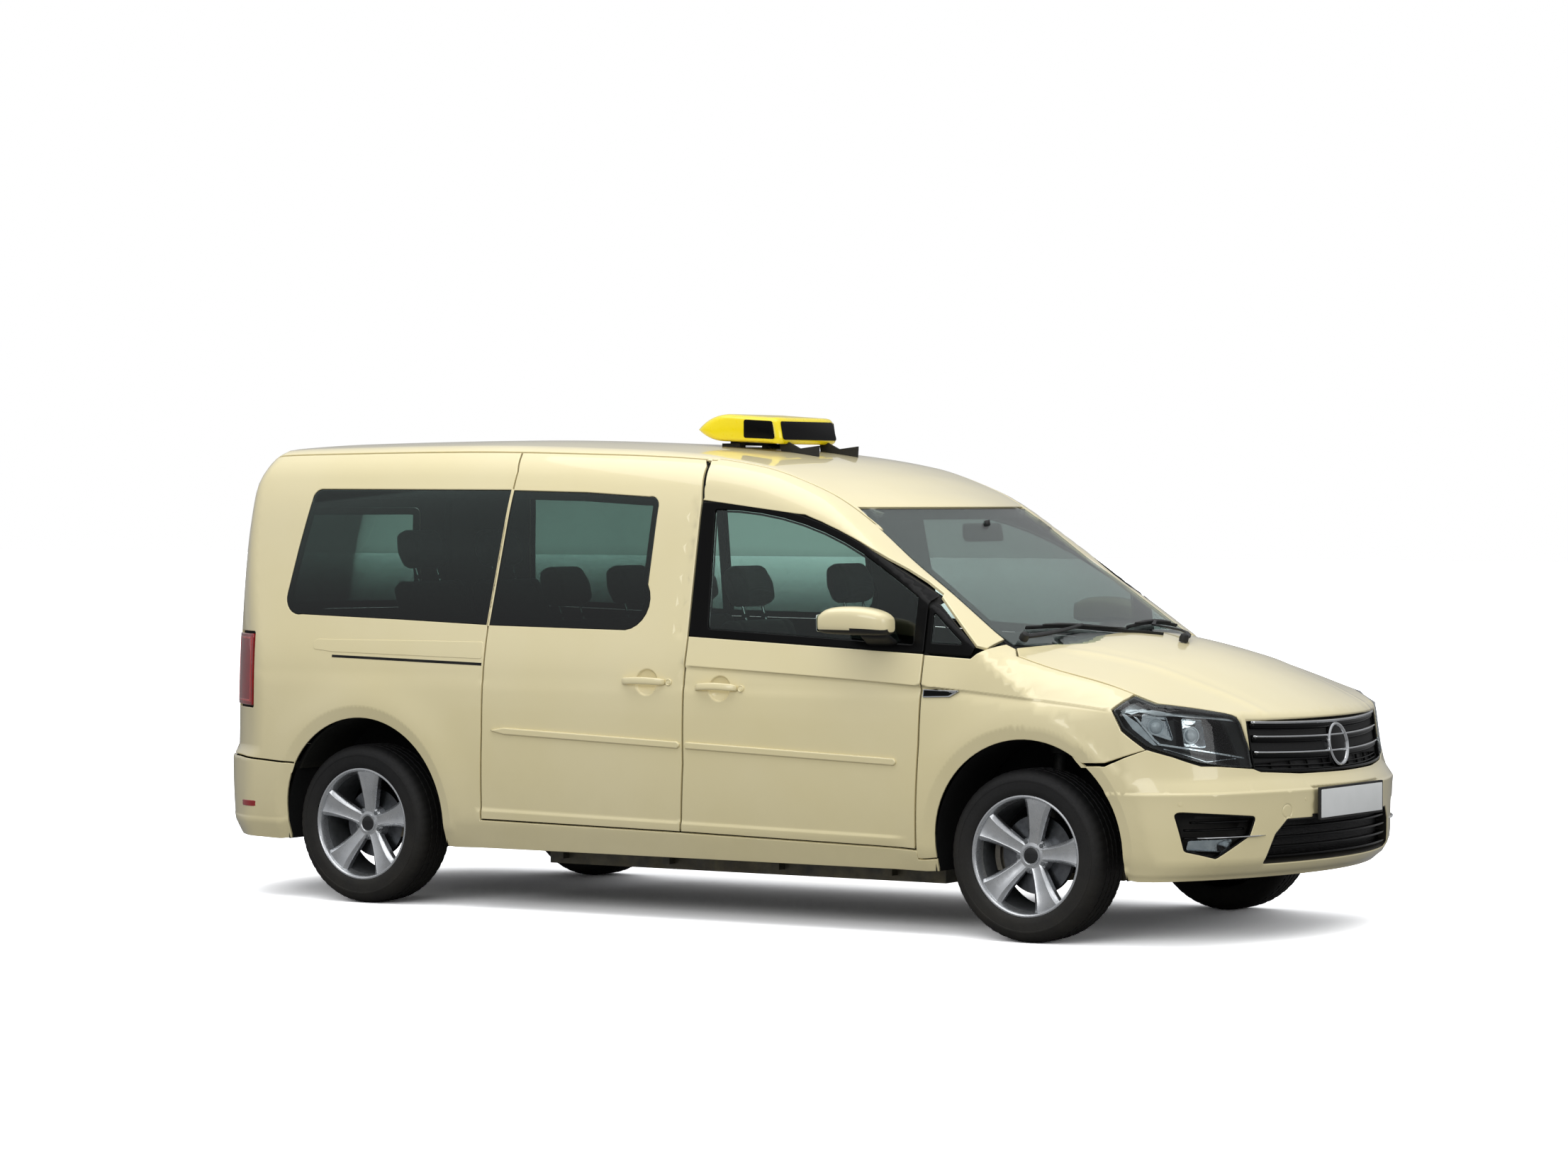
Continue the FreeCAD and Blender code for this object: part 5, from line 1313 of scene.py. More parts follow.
# ---- panes -------------------------------------------------------------------------------
def window(name, chart, ring, glass_, bodies, frit=22.0, both_sides=True, sink=-3.0):
    """A pane just below the skin with its printed border behind it."""
    ring = np.asarray(ring, float)
    ring = inwards(spaced(anticlockwise(ring), 12.0), 1.5)
    make = pair if both_sides else panel
    place = {"bodies": bodies} if both_sides else {"body": bodies}
    out = make(name, chart, [ring], [glass_, glass_], depth=4.2, edge=4.2, margin=900, lift=sink,
               step=44, hem=1.0, border=16, **place)
    make(name + "_border", chart, [ring, inwards(ring, frit)], [FRIT, FRIT], depth=1.4, edge=1.4,
         margin=900, lift=sink - 5, step=60, hem=0.5, border=16, **place)
    return out


FIXED = ("body", "body")
w = window("sliding_window", FLANK, side(SLIDING_WINDOW), DARK_GLASS, FIXED, frit=26, sink=-0.5)
window("rear_window", FLANK, side(REAR_WINDOW), DARK_GLASS, FIXED, frit=26, sink=-0.5)
window("quarter_window", FLANK, side(QUARTER_PANE), CLEAR_GLASS, FIXED, frit=5)
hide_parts("side_glass")
w = window("front_window", FLANK, side(FRONT_WINDOW), DOOR_GLASS, DOORS, frit=6, sink=-5)
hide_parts("front_glass_right")
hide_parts("front_glass_left")
w = window("tailgate_window", TAIL_END, gate_window, DARK_GLASS, "tailgate", frit=30, both_sides=False,
           sink=-0.5)
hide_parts("tailgate_glass")
SCREEN = rounded([(-616, 1558), (616, 1558), (640, 1500), (700, 1112), (694, 1066),
                  ((0, 1048), (-694, 1066)), (-700, 1112), (-640, 1500)])


class ScreenChart(End):
    """Rays towards the windscreen from inside the cab."""
    def rays(self, u, v):
        return np.stack([np.full_like(u, 300.0), u, v], 1), np.tile([1.0, 0.0, 0.0], (len(u), 1))


SCREEN_CHART = ScreenChart(1)
w = window("windscreen_glass", SCREEN_CHART, SCREEN, CLEAR_GLASS, "body", frit=34, both_sides=False,
           sink=-0.5)
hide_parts("windscreen")
seam("screen_seal", SCREEN_CHART, SCREEN, both_sides=False, low=9, out=12, under=3)


# ---- mouldings, handles, rail cover, badge -----------------------------------------------
def moulding(x0, x1, taper_at_rear):
    """A side moulding's outline between two places along the door."""
    middle = lambda x: 702.0 - (x + 780) * 0.0357
    tip = 60.0 if taper_at_rear else 4.0
    return [(x0, middle(x0) + 2), (x0 + tip, middle(x0 + tip) + 14), (x1 - 10, middle(x1) + 13),
            (x1, middle(x1) + 4), (x1, middle(x1) - 4), (x1 - 10, middle(x1) - 13),
            (x0 + tip, middle(x0 + tip) - 12), (x0, middle(x0) - 2)]


pair("moulding_sliding_door", FLANK, [side(moulding(-782, 92, True))], [PAINT, PAINT], depth=0, edge=12,
     lift=8, hem=5, step=30, border=10)
pair("moulding_front_door", FLANK, [side(moulding(116, 1040, False))], [PAINT, PAINT], depth=0, edge=12,
     lift=8, hem=5, step=30, border=10, bodies=DOORS)
cover = rounded([(-1672, 1030), (-1650, 1040), (-840, 1042), (-840, 976), (-1570, 990), (-1672, 1000)], 12)
pair("sliding_rail_cover", FLANK, [side(cover)], [PAINT, PAINT], depth=0, edge=5, lift=1.8, hem=2, step=40)
pair("sliding_rail_slot", FLANK, [side([(-1574, 979), (-840, 961), (-840, 950), (-1574, 969)])],
     [SEAL_AND_SHADE_BLACK, SEAL_AND_SHADE_BLACK], depth=0, edge=4, lift=1.2, hem=1, step=40)


def handle(name, x0, x1, z, bodies):
    """A grip that stands off the skin over its round cup."""
    xs = np.linspace(x0, x1, 17)
    lift = 26 * np.sin(np.linspace(0, math.pi, 17)) ** 0.35 - 2
    path, nrm = skin_at(FLANK, flank(np.stack([xs, z + 3 * np.sin(np.linspace(0, math.pi, 17))], 1)), lift)
    size = np.interp(np.arange(17), [0, 2, 8, 14, 16], [0.75, 0.95, 1.0, 0.95, 0.75])
    for (tag, s), body_ in zip(SIDES, bodies):
        tube(f"{name}_{tag}", path * [1, s, 1], nrm * [1, s, 1], round_profile(27, 13, 3.0, 20), PAINT,
             body_, scale=size)
        end, face = skin_at(FLANK, flank([[x1 + 16.0, z]]), 3.0)
        lathe(f"{name}_lock_{tag}", [(0, 1.5), (7, 1.4), (8, 0), (11, 2.5), (13, 1), (13.5, -4)],
              end[0] * [1, s, 1], face[0] * [1, s, 1], [PAINT], body_, steps=24)


handle("front_handle", 160, 346, 888, DOORS)
handle("sliding_handle", -175, 20, 905, FIXED)
badge_ring = side(rounded([(1150, 905), (1308, 903), (1262, 878), (1150, 874)], 5))
pair("wing_badge", FLANK, [badge_ring], [CHROME, CHROME], depth=0, edge=5, lift=3, hem=1.5, step=20, border=8)
pair("wing_badge_face", FLANK, [inwards(spaced(badge_ring, 8), 4 if area(badge_ring) > 0 else -4)],
     [BLACK_GLOSS, BLACK_GLOSS], depth=0, edge=2, lift=3.6, hem=0.6, step=20, border=8)
for k, x in enumerate((-1010, 1120)):
    spot, face = skin_at(FLANK, flank([[x, 292.0]]), 1.0)
    lathe_pair(f"sill_plug_{k}", [(0, 1), (7, 0.8), (8.5, -0.8), (10, 1.2), (11, -3)], spot[0], face[0],
               [PAINT], 20)


# ---- mirrors -----------------------------------------------------------------------------
# x, inner y, outer y, low z, high z of each section of the head
MIRROR = [(771, -922, -1010, 1112, 1160), (776, -918, -1022, 1106, 1176),
          (800, -912, -1029, 1102, 1196), (850, -908, -1030, 1100, 1204),
          (920, -906, -1030, 1099, 1205), (970, -905, -1026, 1099, 1200),
          (1010, -905, -1014, 1099, 1190), (1035, -906, -998, 1100, 1177),
          (1049, -912, -970, 1106, 1160)]
MIRROR_GLASS = surface("mirror_glass", srgb("c9d4d8"), srgb("b8c4c9"), rough=0.03, rough_spread=0.02,
                       metal=1.0, tone=4, grain_strength=0)


def softened(obj):
    modifier = obj.modifiers.new("smooth", "SUBSURF")
    modifier.levels = modifier.render_levels = 1


points, faces, index = [], [], []
count = 36
for x, yi, yo, lo, hi in MIRROR:
    prof = round_profile(abs(yo - yi), hi - lo, 3.2, count)
    points += [(x, (yi + yo) / 2 + a, (lo + hi) / 2 + b) for a, b in prof]
for i in range(len(MIRROR) - 1):
    for k in range(count):
        j = (k + 1) % count
        quad = (i * count + k, i * count + j, (i + 1) * count + j, (i + 1) * count + k)
        faces.append(quad)
        index.append(1 if sum(points[q][2] for q in quad) / 4 < 1121 else 0)
faces += [tuple(range(count)), tuple(range((len(MIRROR) - 1) * count, len(MIRROR) * count))]
index += [1, 0]
head = new_object("mirror_head_right", points, faces, [PAINT, BLACK_TRIM], "door_right", index)
weld(head)
softened(head)
glass_face = slab("mirror_glass_right",
                  fillet([(-924, 1112), (-1016, 1110), (-1020, 1172), (-930, 1180)], 14),
                  lambda u, v, w: (769.5 + w, u, v), 3, [MIRROR_GLASS], "door_right", bevel=1)
arm_path = [(955, -855, 1068), (955, -875, 1078), (958, -905, 1092), (960, -930, 1104)]
arm = tube("mirror_arm_right", arm_path, [(0, 0, 1)] * 4, round_profile(120, 26, 3.5, 20), BLACK_TRIM,
           "door_right", scale=[1.1, 1.0, 0.95, 0.9])
for piece, name in ((head, "mirror_head_left"), (glass_face, "mirror_glass_left"), (arm, "mirror_arm_left")):
    twin = mirrored_copy(piece, name, "door_left")
    weld(twin)
    if piece is head:
        softened(twin)
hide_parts("mirror_right")
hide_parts("mirror_left")


# ---- wheels ------------------------------------------------------------------------------
ALLOY = surface("silver_alloy", srgb("d5d7d9"), srgb("c3c6c9"), rough=0.3, rough_spread=0.1, metal=0.85,
                coat=0.5, tone=14, grain=700, grain_depth=0.00005, grain_strength=0.1)
ALLOY_DARK = surface("barrel_alloy", srgb("8d9093"), srgb("6f7274"), rough=0.45, metal=0.8, tone=12,
                     grain=400, grain_strength=0.1)
TYRE = surface("tyre_rubber", srgb("0b0b0c"), srgb("131314"), rough=0.66, tone=20, grain=1400,
               grain_depth=0.0004, grain_strength=0.5, dust=0.06)
STEEL = surface("disc_steel", srgb("6f7174"), srgb("55575a"), rough=0.35, metal=1.0, tone=30, grain=250,
                grain_strength=0.2, stretch=(1, 0.05, 1))
HUB_BLACK = surface("hub_cap_black", srgb("101112"), srgb("1c1d1f"), rough=0.3, coat=0.5, tone=30)
RIM = [(193, -88), (194, -40), (198, 20), (203, 52), (208, 66), (211, 78), (214, 86), (219, 90),
       (221, 93), (219.5, 96), (214.5, 97), (210, 94), (206.5, 86), (203, 70), (200, 50)]
CAP = [(0, 57), (20, 56.5), (27, 55), (29, 52.5), (30.5, 52.5), (33, 55), (36, 55), (38, 51), (60, 47),
       (66, 40), (68, 20), (68, -30)]
TREAD = [(221, -96), (226, -101), (245, -104), (270, -105), (288, -101), (296, -94), (304, -86),
         (309, -76), (311.5, -66), (312.4, -56), (312.4, -53), (305.5, -52), (305.5, -46), (312.7, -45),
         (313, -30), (313, -19), (305.5, -18), (305.5, -11), (313, -10), (313, 10), (305.5, 11),
         (305.5, 18), (313, 19), (313, 30), (312.7, 45), (305.5, 46), (305.5, 52), (312.4, 53),
         (312.4, 56), (311.5, 66), (309, 76), (304, 86), (296, 94), (288, 101), (276, 104.2),
         (275, 105.4), (270, 105.5), (269, 104.4), (245, 104), (226, 101), (221, 97)]


def tyre_mesh(name, centre, out, body):
    """A tyre with ribs round it and fine cuts across it."""
    steps, m = 216, len(TREAD)
    points, faces = [], []
    for k in range(steps):
        a = 2 * math.pi * k / steps
        for r, t in TREAD:
            block = (k + int(abs(t) / 26) + (2 if t > 0 else 0)) % 4
            cut = 2.2 if abs(t) < 96 and r > 296 and block == 0 else 0.0
            points.append((centre[0] + (r - cut) * math.cos(a), centre[1] + t * out,
                           centre[2] + (r - cut) * math.sin(a)))
    for k in range(steps):
        j = (k + 1) % steps
        faces += [(k * m + i, k * m + i + 1, j * m + i + 1, j * m + i) for i in range(m - 1)]
    tyre = new_object(name, points, faces, [TYRE], body)
    weld(tyre)
    return tyre


def spoke_mesh(angle):
    """One spoke: a flat middle facet, bevelled flanks and deep walls, as rows from hub to rim."""
    # radius, half-width, half-width of the facet, front of the facet, drop of the flank
    rows = [(34, 25, 16, 50, 3), (60, 27, 17, 54, 6), (90, 31, 19, 62, 10), (130, 38, 24, 72, 12),
            (165, 46, 30, 80, 12), (190, 54, 37, 84, 10), (206, 60, 43, 85, 6)]
    points = []
    for r, half, facet, front, drop in rows:
        section = [(-half + 6, front - drop - 34), (-half, front - drop - 4), (-half + 2, front - drop),
                   (-facet, front - 1), (-facet + 3, front - 2.5), (facet - 3, front - 2.5),
                   (facet, front - 1), (half - 2, front - drop), (half, front - drop - 4),
                   (half - 6, front - drop - 34)]
        for s, t in section:
            points.append((r * math.cos(angle) - s * math.sin(angle), t,
                           r * math.sin(angle) + s * math.cos(angle)))
    return points, 10, len(rows)


def wheel(tag, centre, out, body, first, disc_radius):
    tyre = tyre_mesh(f"tyre_{tag}_tread", centre, out, body)
    rim = lathe(f"rim_{tag}_barrel", RIM, centre, (0, out, 0), [ALLOY, ALLOY_DARK], body, steps=96,
                indices=[1] * 4 + [0] * 20)
    points, faces = [], []
    for k in range(5):
        rows, m, n = spoke_mesh(math.radians(first + 72 * k))
        base = len(points)
        points += [(centre[0] + x, centre[1] + t * out, centre[2] + z) for x, t, z in rows]
        for i in range(n - 1):
            faces += [(base + i * m + j, base + i * m + j + 1, base + (i + 1) * m + j + 1,
                       base + (i + 1) * m + j) for j in range(m - 1)]
            faces.append((base + i * m + m - 1, base + i * m, base + (i + 1) * m, base + (i + 1) * m + m - 1))
    spokes = new_object(f"rim_{tag}_spokes", points, faces, [ALLOY], body)
    weld(spokes)
    extra = spokes.modifiers.new("edge", "BEVEL")
    extra.width, extra.segments, extra.limit_method, extra.angle_limit = 0.0012, 2, "ANGLE", 0.5
    lathe(f"rim_{tag}_hub", CAP, centre, (0, out, 0), [ALLOY, HUB_BLACK], body, steps=60,
          indices=[1, 1, 1, 0, 0, 0] + [0] * 8)
    for k in range(5):
        a = math.radians(first + 36 + 72 * k)
        spot = np.array(centre) + [54 * math.cos(a), 0, 54 * math.sin(a)]
        lathe(f"rim_{tag}_bolt_{k}", [(0, 52), (7, 52), (9, 50), (9, 44), (13, 44), (13.5, 38)], spot,
              (0, out, 0), [ALLOY_DARK], body, steps=6)
    lathe(f"rim_{tag}_disc",
          [(40, 0), (58, 0), (60, 22), (62, 23), (disc_radius, 23), (disc_radius, 1), (64, 1)],
          np.array(centre) - [0, out * 22, 0], (0, out, 0), [STEEL], body, steps=72)
    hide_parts(f"tyre_{tag}")
    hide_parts(f"rim_{tag}")


for tag, x, y, first, disc_radius in (("front_right", 1560, -771, 78, 143),
                                      ("front_left", 1560, 771, 66, 143),
                                      ("rear_right", -1446, -767, 85, 135),
                                      ("rear_left", -1446, 767, 71, 135)):
    wheel(tag, (x, y, 313.0), 1 if y > 0 else -1, "wheel_" + tag, first, disc_radius)

# arch liners
LINER = surface("arch_liner", srgb("0b0b0b"), srgb("121212"), rough=0.9, tone=15, grain=700,
                grain_depth=0.001, grain_strength=0.6)
for name, cx, inner_y in (("front", FRONT_ARCH, 560), ("rear", REAR_ARCH, 572)):
    for tag, s in ACROSS:
        points, faces = [], []
        path = [(cx - 392, 240)] + arch(cx - 392, cx + 392, cx, 8, 30) + [(cx + 392, 240)]
        for x, z in path:
            points += [(x, s * 850, z), (x, s * inner_y, z)]
        faces += [(2 * k, 2 * k + 1, 2 * k + 3, 2 * k + 2) for k in range(len(path) - 1)]
        if name == "rear":
            faces.append(tuple(2 * k + 1 for k in range(len(path)))[::-1])
        new_object(f"arch_liner_{name}_{tag}", points, faces, [LINER], "body")


# ---- roof sign ---------------------------------------------------------------------------
YELLOW = surface("sign_yellow", srgb("f4e000"), srgb("efd800"), rough=0.3, coat=0.6, tone=8, grain=500,
                 grain_strength=0.05)
sign_outline = rounded([(-292, 1866), ((-230, 1910), (-140, 1926)), (60, 1912),
                        ((80, 1906), (90, 1890)), (104, 1832), ((96, 1812), (76, 1808)), (-180, 1820),
                        ((-250, 1838), (-292, 1866))])
sign_points, sign_faces = [], []
m = len(sign_outline)
ys = np.concatenate([[-225, -222, -214, -200, -180], np.linspace(-120, 120, 7), [180, 200, 214, 222, 225]])
middle_x, middle_z = -80.0, 1864.0
for y in ys:
    t = max(0.0, (abs(y) - 180) / 45)
    shrink = 1 - 0.30 * (1 - math.sqrt(max(0.0, 1 - t * t)))
    sign_points += [(middle_x + (x - middle_x) * shrink, y, middle_z + (z - middle_z) * shrink)
                    for x, z in sign_outline]
for i in range(len(ys) - 1):
    sign_faces += [(i * m + k, i * m + (k + 1) % m, (i + 1) * m + (k + 1) % m, (i + 1) * m + k)
                   for k in range(m)]
sign_faces += [tuple(range(m)), tuple(range((len(ys) - 1) * m, len(ys) * m))[::-1]]
sign = new_object("roof_sign_body", sign_points, sign_faces, [YELLOW], "body")
weld(sign)
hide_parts("roof_sign")
front_face = fillet([(-196, 1824), (196, 1824), (190, 1896), (-190, 1896)], 12)
slab("roof_sign_front_panel", front_face, lambda u, v, w: (103.5 - (v - 1832) * 0.24 - 2 + w, u, v), 3,
     [BLACK_GLOSS], "body", bevel=1.2)
for tag, s in ACROSS:
    face = fillet([(-60, 1832), (84, 1826), (72, 1896), (-60, 1904)], 10)
    slab(f"roof_sign_side_panel_{tag}", face, lambda u, v, w, s=s: (u, s * (223.5 + w), v), 2.5,
         [BLACK_GLOSS], "body", bevel=1.0)


# ---- tail lamps --------------------------------------------------------------------------
RED = surface("red_lens", srgb("a8121c"), srgb("8a0d16"), rough=0.12, coat=1.0, tone=14, grain=120,
              grain_depth=0.001, grain_strength=0.3)
RED_BRIGHT = surface("red_light_guide", srgb("e05a55"), srgb("c73a3a"), rough=0.2, coat=0.8, tone=20,
                     grain=120)
tail_ring = drawn(on_side(dense([(-2150, 1055), (-1990, 1055)])),
                  on_side(dense([(-1986, 1050), (-1986, 772)])),
                  on_side(dense([(-1990, 768), (-2150, 768)])),
                  on_end(dense([(-712, 768), (-712, 1055)]), -1900, -1))
tail_ring = FLANK.flat(tail_ring)
tail_ring = tail_ring[np.r_[True, np.linalg.norm(np.diff(tail_ring, axis=0), axis=1) > 2.0]]
tail_ring = anticlockwise(tail_ring)
lens = pair("tail_lamp_lens", FLANK, [tail_ring], [RED, RED], depth=26, edge=12, lift=4, step=30, hem=4)
pair("tail_lamp_guide", FLANK, [inwards(spaced(tail_ring, 12), 14), inwards(spaced(tail_ring, 12), 22)],
     [RED_BRIGHT, RED], depth=0, edge=3, lift=4.8, step=40, hem=0.8)
seam("tail_lamp_joint", FLANK, tail_ring, low=14, out=16, under=4)
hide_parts("tail_lamps")
reflector = np.array(fillet([(-1180, 364), (-1010, 364), (-1010, 388), (-1180, 388)], 5), float)
for tag, s in SIDES:
    panel(f"rear_reflector_{tag}", TAIL_WRAP, [reflector * [s, 1]], [RED, RED], "body", depth=0, edge=4,
          lift=2.5, step=40, border=10)

# inner wings beside the drive unit and a tray under it
for tag, s in ACROSS:
    slab("inner_wing_" + tag,
         rounded([(1200, 300), (1960, 300), (1960, 560), (1900, 880), (1200, 900)], 40),
         lambda u, v, w, s=s: (u, s * (484 + w), v), 4, [LINER], "body", bevel=1, segments=1)
slab("drive_tray",
     rounded([(1200, -482), (2190, -482), (2240, -300), (2240, 300), (2190, 482), (1200, 482)], 40),
     lambda u, v, w: (u, v, 262 + w), 4, [LINER], "body", bevel=1, segments=1)


# ---- the cab: soft seats, dash, mirror, wipers, and materials for the carried-over parts --
def cloth(name, colour, second, pitch=0.0024):
    """Woven seat cloth: two crossed threads, a fleck, a soft sheen and paler raised crossings of the threads.
    """
    material = bpy.data.materials.new(name)
    n = Nodes(material)
    shader = n.add("ShaderNodeBsdfPrincipled")
    shader.inputs["Sheen Weight"].default_value = 0.35
    shader.inputs["IOR"].default_value = 1.4
    coords = n.add("ShaderNodeTexCoord").outputs["Object"]
    threads = []
    for direction in ("X", "Y", "Z"):
        wave = n.add("ShaderNodeTexWave", wave_type="BANDS", bands_direction=direction)
        wave.inputs["Scale"].default_value = 0.314 / pitch
        wave.inputs["Distortion"].default_value = 1.2
        wave.inputs["Detail"].default_value = 1.0
        n.link(coords, wave.inputs["Vector"])
        threads.append(wave.outputs["Fac"])
    weave = n.math("MAXIMUM", n.math("MULTIPLY", threads[0], threads[1]),
                   n.math("MULTIPLY", threads[2], threads[1]))
    fleck = n.spread(n.noise(260.0, 2.0, 0.5), 0.0, 1.0, 0.5, 0.72)
    base = n.mix(n.spread(n.noise(5.0, 4.0, 0.6), 0.0, 1.0), colour, second)
    base = n.mix(n.math("MULTIPLY", weave, 0.5), base, tuple(min(1.0, c * 1.9 + 0.01) for c in colour))
    base = n.mix(n.math("MULTIPLY", fleck, 0.25), base, srgb("5d6468"))
    n.link(base, shader.inputs["Base Color"])
    n.link(n.spread(n.noise(18.0, 3.0), 0.8, 0.97), shader.inputs["Roughness"])
    n.link(n.bump(weave, 0.6, 0.0007, n.bump(n.noise(28.0, 4.0), 0.25, 0.003)), shader.inputs["Normal"])
    n.link(shader.outputs[0], n.out.inputs["Surface"])
    return material


SEAT_CLOTH = cloth("seat_cloth", srgb("26292c"), srgb("1d2022"))
LEATHER = surface("wheel_leather", srgb("161616"), srgb("0f0f0f"), rough=0.5, tone=9, grain=420,
                  grain_depth=0.0009, grain_strength=0.55)
DASH = surface("dash_moulding", srgb("303336"), srgb("26282b"), rough=0.62, tone=4, grain=650,
               grain_depth=0.0008, grain_strength=0.6)
WAXED_STEEL = surface("waxed_steel", srgb("3c3d3c"), srgb("22221f"), rough=0.6, rough_spread=0.3,
                      metal=0.5, tone=14, grain=260, grain_depth=0.001, grain_strength=0.6, dust=0.75)
CASTING = surface("cast_metal", srgb("7d7b76"), srgb("5a5853"), rough=0.5, rough_spread=0.25,
                  metal=0.85, tone=16, grain=320, grain_depth=0.0012, grain_strength=0.7, dust=0.6)
UNDER = surface("underbody_coating", srgb("23241f"), srgb("16170f"), rough=0.9, tone=6, grain=180,
                grain_depth=0.0025, grain_strength=0.8, dust=0.85)
TRAY = surface("battery_case", srgb("55585a"), srgb("44474a"), rough=0.45, rough_spread=0.2, metal=0.7,
               tone=5, grain=300, grain_depth=0.0008, grain_strength=0.4, dust=0.8)
CARRIED_OVER = {
    "battery_tray": TRAY, "dashboard": DASH, "drive_unit": CASTING, "floor_pan": UNDER,
    "front_frame": WAXED_STEEL, "front_suspension": WAXED_STEEL, "rear_suspension": WAXED_STEEL,
    "knuckle_left": CASTING, "knuckle_right": CASTING, "scuttle": BLACK_TRIM,
    "sign_bracket": BLACK_TRIM, "steering_wheel": LEATHER,
}
for node, material in CARRIED_OVER.items():
    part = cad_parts[node]
    if not part.data.materials:
        part.data.materials.append(None)
    for holder in part.material_slots:
        holder.link = "OBJECT"
        holder.material = material


def blank_pad(name, outline, half, edge, voxel):
    """A closed pad: its side outline carried across its width, drawn in and rounded towards each side."""
    ring = anticlockwise(spaced(rounded(outline, 42.0), 20.0))
    rows, m = [], len(ring)
    for t in np.linspace(-1, 1, 25):
        y = half * math.sin(t * math.pi / 2)
        over = max(0.0, abs(y) - (half - edge))
        rows.append((y, inwards(ring, 7.0 + edge - math.sqrt(max(edge ** 2 - over ** 2, 0.0)))))
    verts = [(p[0], y, p[1]) for y, points in rows for p in points]
    faces = [(i * m + k, i * m + (k + 1) % m, (i + 1) * m + (k + 1) % m, (i + 1) * m + k)
             for i in range(len(rows) - 1) for k in range(m)]
    faces += [tuple(range(m))[::-1], tuple((len(rows) - 1) * m + k for k in range(m))]
    mesh = bpy.data.meshes.new(name)
    mesh.from_pydata([tuple(c * 0.001 for c in v) for v in verts], [], faces)
    mesh.update()
    obj = linked(name, mesh)
    work = bmesh.new()
    work.from_mesh(mesh)
    bmesh.ops.recalc_face_normals(work, faces=work.faces)
    work.to_mesh(mesh)
    work.free()
    grid = obj.modifiers.new("grid", "REMESH")
    grid.mode, grid.voxel_size = "VOXEL", voxel
    obj.data = taken(obj)
    obj.modifiers.clear()
    return obj


def taken(obj):
    """The shape an object has with its modifiers, as a mesh of its own."""
    graph = bpy.context.evaluated_depsgraph_get()
    return bpy.data.meshes.new_from_object(obj.evaluated_get(graph))


def points_of(mesh):
    found = np.empty(len(mesh.vertices) * 3)
    mesh.vertices.foreach_get("co", found)
    return found.reshape(-1, 3)


def puffed(obj, reach, pressure=4.0):
    """Blows the cover up a little as cloth, and holds each point to within reach of where it was."""
    before = points_of(obj.data)
    blown = obj.modifiers.new("cover", "CLOTH")
    settings = blown.settings
    settings.use_pressure = True
    settings.uniform_pressure_force = pressure
    settings.effector_weights.gravity = 0.0
    settings.quality = 5
    settings.tension_stiffness = settings.compression_stiffness = 12.0
    settings.bending_stiffness = 0.6
    blown.point_cache.frame_start, blown.point_cache.frame_end = 1, 20
    for frame_number in range(1, 21):
        bpy.context.scene.frame_set(frame_number)
    mesh = taken(obj)
    obj.modifiers.clear()
    bpy.context.scene.frame_set(1)
    after = points_of(mesh)
    shift = after - before
    size = np.linalg.norm(shift, axis=1, keepdims=True)
    after = before + shift * np.minimum(1.0, reach / np.maximum(size, 1e-9))
    mesh.vertices.foreach_set("co", after.ravel())
    obj.data = mesh
    return obj


def sewn(obj, lines):
    """Presses seams into the cover; each line gives a distance for points in millimetres, and its depth."""
    mesh = obj.data
    p = points_of(mesh) * 1000
    normals = np.empty(len(p) * 3)
    mesh.vertices.foreach_get("normal", normals)
    sink = np.zeros(len(p))
    for distance, depth, width in lines:
        sink = np.maximum(sink, depth * np.exp(-(distance(p) / width) ** 2))
    p -= normals.reshape(-1, 3) * sink[:, None]
    mesh.vertices.foreach_set("co", (p / 1000).ravel())
    mesh.polygons.foreach_set("use_smooth", [True] * len(mesh.polygons))
    mesh.update()
    return obj


CUSHION = [(-10, -105), (440, -95), (490, -60), (488, -5), (440, 34), (60, 2), (-10, 10)]
BACK = [(-60, -60), (58, -60), (66, 150), (48, 400), (26, 600), (-12, 622), (-58, 600), (-78, 300)]
HEAD = [(-46, 652), (44, 654), (56, 740), (34, 824), (-34, 824), (-58, 740)]
HALF = 246.0


def across_at(axis, value, limit):
    """Distance to a channel across the pad, between its side seams."""
    def far(p):
        return np.abs(p[:, axis] - value) + np.maximum(np.abs(p[:, 1]) - limit, 0) * 3
    return far


def along_at(limit):
    return lambda p: np.abs(np.abs(p[:, 1]) - limit)


BOLSTER = HALF * 0.62
pad_kinds = {
    "cushion": sewn(puffed(blank_pad("pad_cushion", CUSHION, HALF, 40, 0.011), 0.006), [
        (along_at(BOLSTER), 7, 8), (along_at(HALF - 30), 3, 6),
        *[(across_at(0, x, BOLSTER), 5, 8) for x in (110, 210, 310, 400)]]),
    "back": sewn(puffed(blank_pad("pad_back", BACK, HALF - 6, 40, 0.011), 0.006), [
        (along_at(BOLSTER), 7, 8), (along_at(HALF - 34), 3, 6),
        *[(across_at(2, z, BOLSTER), 5, 8) for z in (110, 220, 330, 440, 540)]]),
    "head": sewn(puffed(blank_pad("pad_head", HEAD, 132, 46, 0.009), 0.006), [(along_at(100), 3, 6)]),
}
ROWS = (     # name, node, x, z, half width, centre of each place, lean of the back
    ("front", "front_seats", 300, 560, 246, (("right", -372), ("left", 372)), 18),
    ("middle", "passenger_seats", -480, 560, 218.5, (("right", -455), ("centre", 0), ("left", 455)), 20),
    ("rear", "passenger_seats", -1330, 700, 231, (("right", -262), ("left", 262)), 20),
)


def leaned(p, lean):
    """Turns points about the hip line, which is 40 below the seat's own origin."""
    a = math.radians(lean)
    x, z = p[:, 0], p[:, 2] + 40
    return np.stack([x * math.cos(a) - z * math.sin(a), p[:, 1], x * math.sin(a) + z * math.cos(a) - 40], 1)


